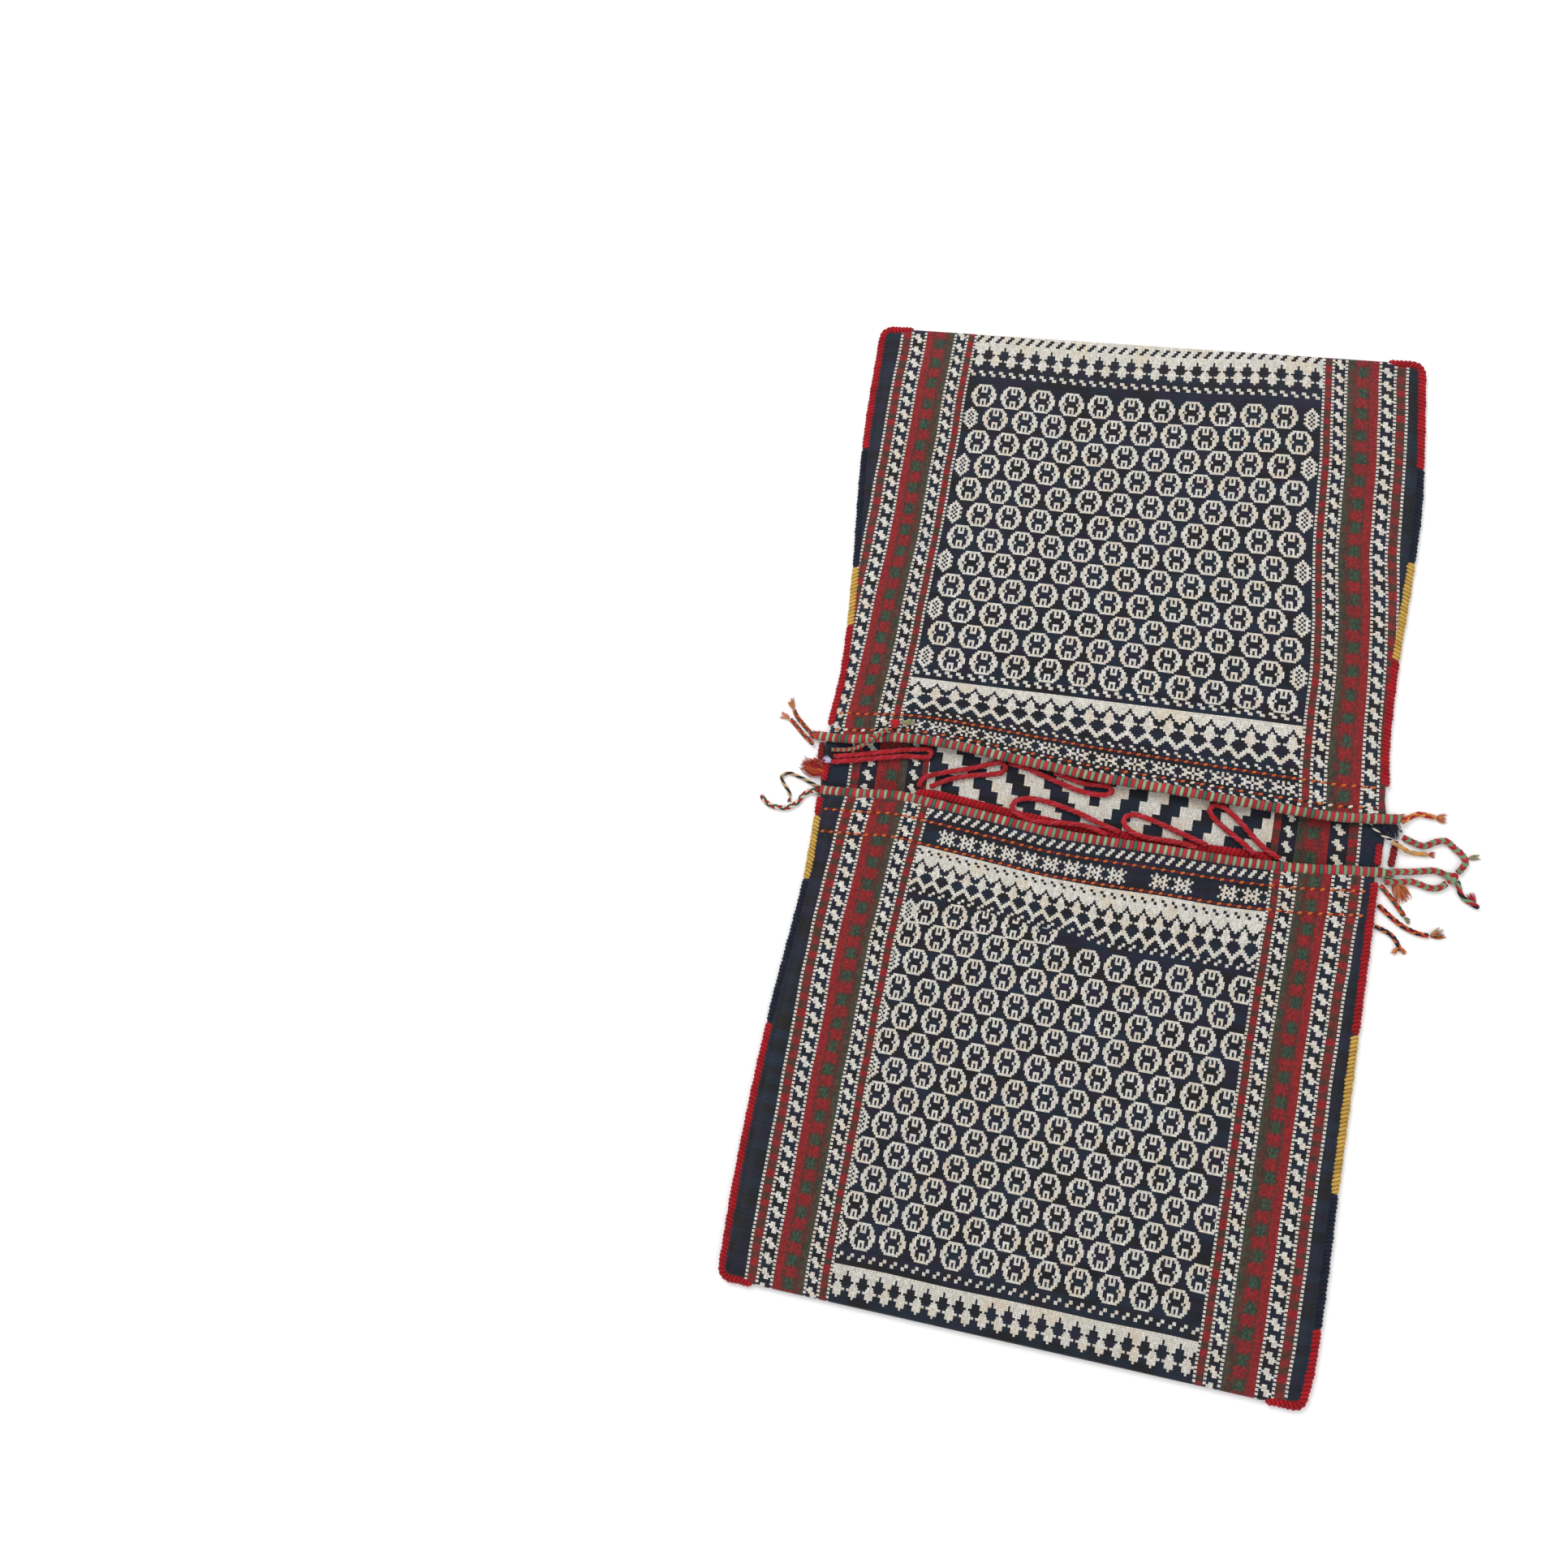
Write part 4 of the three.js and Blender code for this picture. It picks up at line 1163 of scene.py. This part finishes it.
overcastSet = {"lumps": 0.16, "width": 9.6, "height": 7.6, "turn": 3.9, "perTurn": 6, "slant": 0.5,
               "depth": 0.3, "sides": 14}
cornerSet = {"radius": 9.0, "length": 28.0, "line": 1.8}
sewnRuns = {
    "upper_left": (leftSide, clothSet["endUpper"], 1, (60, 169, 233, 365)),
    "upper_right": (rightSide, clothSet["endUpper"], -1, (72, 197, 297, 394)),
    "lower_left": (leftSide, clothSet["endLower"], 1, (-16, -36, -103, -253)),
    "lower_right": (rightSide, clothSet["endLower"], -1, (-21, -167, -314, -435)),
}
runColours = [("mouth_red", redWrap, "red_wool"), ("yellow", yellowWrap, "yellow_wool"),
              ("navy", navyWrap, "navy_wool"), ("corner_red", redWrap, "red_wool")]


def overcastPath(side, inward, start, stop, end):
    away = 1 if end > 0 else -1
    turned = stop is None
    if turned:
        stop = end - away * (cornerSet["radius"] + 4)
    count = max(2, round(abs(stop - start) / 18))

    def xAt(y):
        return along(side, y) + inward * overcastWidth / 2
    points = [(xAt(y), y, 3.7) for y in (start + (stop - start) * i / count for i in range(count + 1))]
    if turned:
        lineY = end - away * cornerSet["line"]
        x0 = xAt(stop)
        for share in (0.3, 0.6, 0.85, 1):
            a = share * pi / 2
            points.append((x0 + inward * cornerSet["radius"] * (1 - cos(a)),
                           stop + (lineY - stop) * sin(a), 3.7))
        points.append((x0 + inward * (cornerSet["length"] + 4), lineY, 3.7))
    return points


for place, (side, end, inward, stops) in sewnRuns.items():
    for n, (run, dye, slotName) in enumerate(runColours):
        stop = stops[n + 1] if n < 3 else None
        route = overcastPath(side, inward, stops[n], stop, end)
        plan = dict(overcastSet, slant=overcastSet["slant"] * (-inward if end > 0 else inward))
        wrappedEdge(f"overcast_{place}_{run}_wool", route, plan, [dye], slotName, [f"overcast_{place}_{run}"])
shortRuns = {
    "overcast_back_left": ([(-257, 1, 3.6), (-257, 10, 3.6), (-256, 20, 3.6)], redWrap),
    "overcast_back_left_top": ([(-264.5, 24, 3.6), (-265.5, 32, 3.6), (-265.5, 41, 3.6)], darkRedWrap),
    "overcast_back_right": ([(286.5, -5, 3.6), (286.5, 6, 3.6), (286, 16, 3.6)], redWrap),
    "overcast_loose_right": ([(298.5, -4, 3.3), (299.5, 8, 3.3), (300.5, 21, 3.3)], darkRedWrap),
}
for name, (route, dye) in shortRuns.items():
    wrappedEdge(f"{name}_wool", route, dict(overcastSet, width=7, height=7), [dye], "red_wool", [name])
print("sides overcast")


def stripedDye():
    # rose red and sage turns, one after the other along the mouth
    dye = Dye("stripedWrap")
    thread = dye.layer("thread")
    turn, around, _ = dye.parts(thread)
    number = floor(turn)
    roll = dye.dice(number, 0.0, 1.0)
    fibre = dye.cloud(dye.stretched(thread, (9.0, 2.2, 1.0)), 2.0, 3.0, 0.7)
    fuzz = dye.cloud(dye.place(), 1600.0, 2.0, 0.6)
    red = dye.mix(roll, tint("#98202c"), tint("#c03440"))
    sage = dye.mix(roll, tint("#6a8266"), tint("#9aa986"))
    sage = dye.mix(dye.between(roll, 0.4, 0.55), sage, tint("#3f6450"))
    colour = dye.mix(number % 2, red, sage)
    crease = abs((turn % 1) - 0.5) * 2
    shade = (1 - crease * crease * crease * 0.7) * (fibre * 0.6 + 0.68) * (fuzz * 0.3 + 0.85)
    colour = dye.tone(colour, shade)
    return dye.dress(colour, fibre * 0.8 + fuzz * 0.4, 0.0004, 0.9)


stripedWrap = stripedDye()
mouthSet = {"width": 10.2, "height": 6.8, "turn": 3.62, "perTurn": 5, "slant": 0.12,
            "depth": 0.17, "sides": 14}


def mouthRoute(mouth):
    points = []
    for i in range(61):
        x = mouth[0][0] + (mouth[-1][0] - mouth[0][0]) * i / 60
        y = along(mouth, x)
        left, right = along(leftSide, y) + openInside, along(rightSide, y) - openInside
        rise = gapeAt(x, y) if left < x < right else 0
        points.append((x, y, max(6.7, 4.5 + rise)))
    points[0] = points[0][:2] + (points[1][2],)
    return points


for place, mouth in (("upper", upperMouth), ("lower", lowerMouth)):
    wrappedEdge(f"mouth_wrap_{place}_wool", mouthRoute(mouth), mouthSet, [stripedWrap], "striped_wrap",
                [f"mouth_wrap_{place}"])

bandRoute = [(-160, 1.5), (-142, 3), (-118, 1), (-90, -2), (-64, -5), (-10, -9), (43, -11), (100, -12),
             (150, -12), (192, -12)]
bandSet = {"width": 9.2, "height": 3.0, "turn": 4.4, "perTurn": 6, "slant": 0.35, "depth": 0.22, "sides": 14}
wrappedEdge("loop_band_wool", [(x, y, 4.6) for x, y in bandRoute], bandSet, [redWrap], "loop_wool",
            ["loop_band"])
print("mouths wrapped")

# where wool comes loose: base, tip, spread, height, fibres, wools, slot, the CAD piece it stands for, curl
frays = {
    "fray_navy_right": ([288, 37, 3.4], [305, 26, 3.0], 7, 3.4, 64,
        [navyWool, darkWool, navyWool], "navy_wool", ["fray_navy_right"], 0.9),
    "fray_red_left": ([-257, 10, 0.3], [-286, 18, 0.1], 9, 6, 120,
        [redWool, darkRedWool, redWool, redWool, orangeWool], "red_wool", ["fray_red_left"], 0.8),
    "orange_fray_left": ([-259, 16, 2.0], [-271, 28, 0.3], 6, 5, 50,
        [redWool, orangeWool, darkRedWool], "red_wool", [], 0.5),
    "lilac_fluff_left": ([-252, 22, 3.0], [-270, 25, 0.5], 4, 4, 46, [lilacWool], "sage_yarn", [], 0.7),
    "upper_wrap_left_end": ([-269, 47, 3.0], [-281, 49, 1.0], 5, 6, 60,
        [pinkWool, redWool, sageWool, orangeWool], "braid_red_green", [], 0.4),
    "lower_wrap_left_end": ([-253, -9, 3.0], [-268, -10, 1.5], 5, 6, 60,
        [sageWool, redWool, greenWool], "braid_red_green", [], 0.4),
    "upper_wrap_right_end": ([296, 41, 3.0], [308, 46, 1.5], 4, 6, 50,
        [orangeWool, redWool, sageWool], "braid_orange", [], 0.4),
    "lower_wrap_right_end": ([290, -11.5, 3.0], [303, -11, 1.5], 6, 6, 60,
        [sageWool, redWool, sageWool, roseWool], "braid_red_green", [], 0.4),
    "short_tie_tip_lower": ([313, -79, 0.6], [309, -87, 0.3], 2.6, 3.4, 24,
        [orangeWool, goldWool], "orange_yarn", [], 0.3),
    "short_tie_tip_upper": ([314, -79, 0.6], [321, -84, 0.3], 2.6, 3.4, 24,
        [orangeWool, goldWool], "orange_yarn", [], 0.3),
    "fringe_right": ([374, -30, 0.8], [370, -17, 0.4], 4, 3, 26, [redWool, roseWool], "red_wool", [], 0.5),
}
for n, (name, (base, tip, spread, height, count, dyes, slotName, nodes, curl)) in enumerate(frays.items()):
    yarnEnd(f"{name}_yarn", spot(*base), spot(*tip), spread * mm, height * mm, count, dyes, slotName, nodes,
            30 + n, curl)
print("frays teased out:", len(frays))

floorMesh = bmesh.new()
bmesh.ops.create_grid(floorMesh, x_segments=1, y_segments=1, size=6)
floorData = bpy.data.meshes.new("floor")
floorMesh.to_mesh(floorData)
floorMesh.free()
floorDye = bpy.data.materials.new("paleFloor")
floorDye.use_nodes = True
floorInputs = floorDye.node_tree.nodes["Principled BSDF"].inputs
floorInputs["Base Color"].default_value = (0.93, 0.93, 0.93, 1)
floorInputs["Roughness"].default_value = 0.9
floorData.materials.append(floorDye)
ground = bpy.data.objects.new("floor", floorData)
ground.location.z = -0.0005
scene.collection.objects.link(ground)
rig.stage(ground)

# each lamp: its place, power and size; both look at the bag's middle
lightSet = {"sky": 0.8, "key": (-1.2, 1.4, 2.6, 46.0, 1.4), "fill": (1.6, -0.6, 2.2, 12.0, 2.0)}
scene.world = bpy.data.worlds.new("studio")
scene.world.use_nodes = True
skyInputs = scene.world.node_tree.nodes["Background"].inputs
skyInputs["Color"].default_value = (1, 1, 1, 1)
skyInputs["Strength"].default_value = lightSet["sky"]
scene.view_settings.view_transform = "Standard"
for name in ("key", "fill"):
    x, y, z, power, size = lightSet[name]
    lamp = bpy.data.lights.new(name, "AREA")
    lamp.energy, lamp.size = power, size
    lit = bpy.data.objects.new(name, lamp)
    lit.location = (x, y, z)
    lit.rotation_euler = (-Vector((x, y, z))).to_track_quat("-Z", "Y").to_euler()
    scene.collection.objects.link(lit)
print("floor and lights set")

with open("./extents.json", "w") as out:
    json.dump({"cad": [list(corner) for corner in cadBox], "visual": [list(corner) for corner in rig.bounds()]}, out)
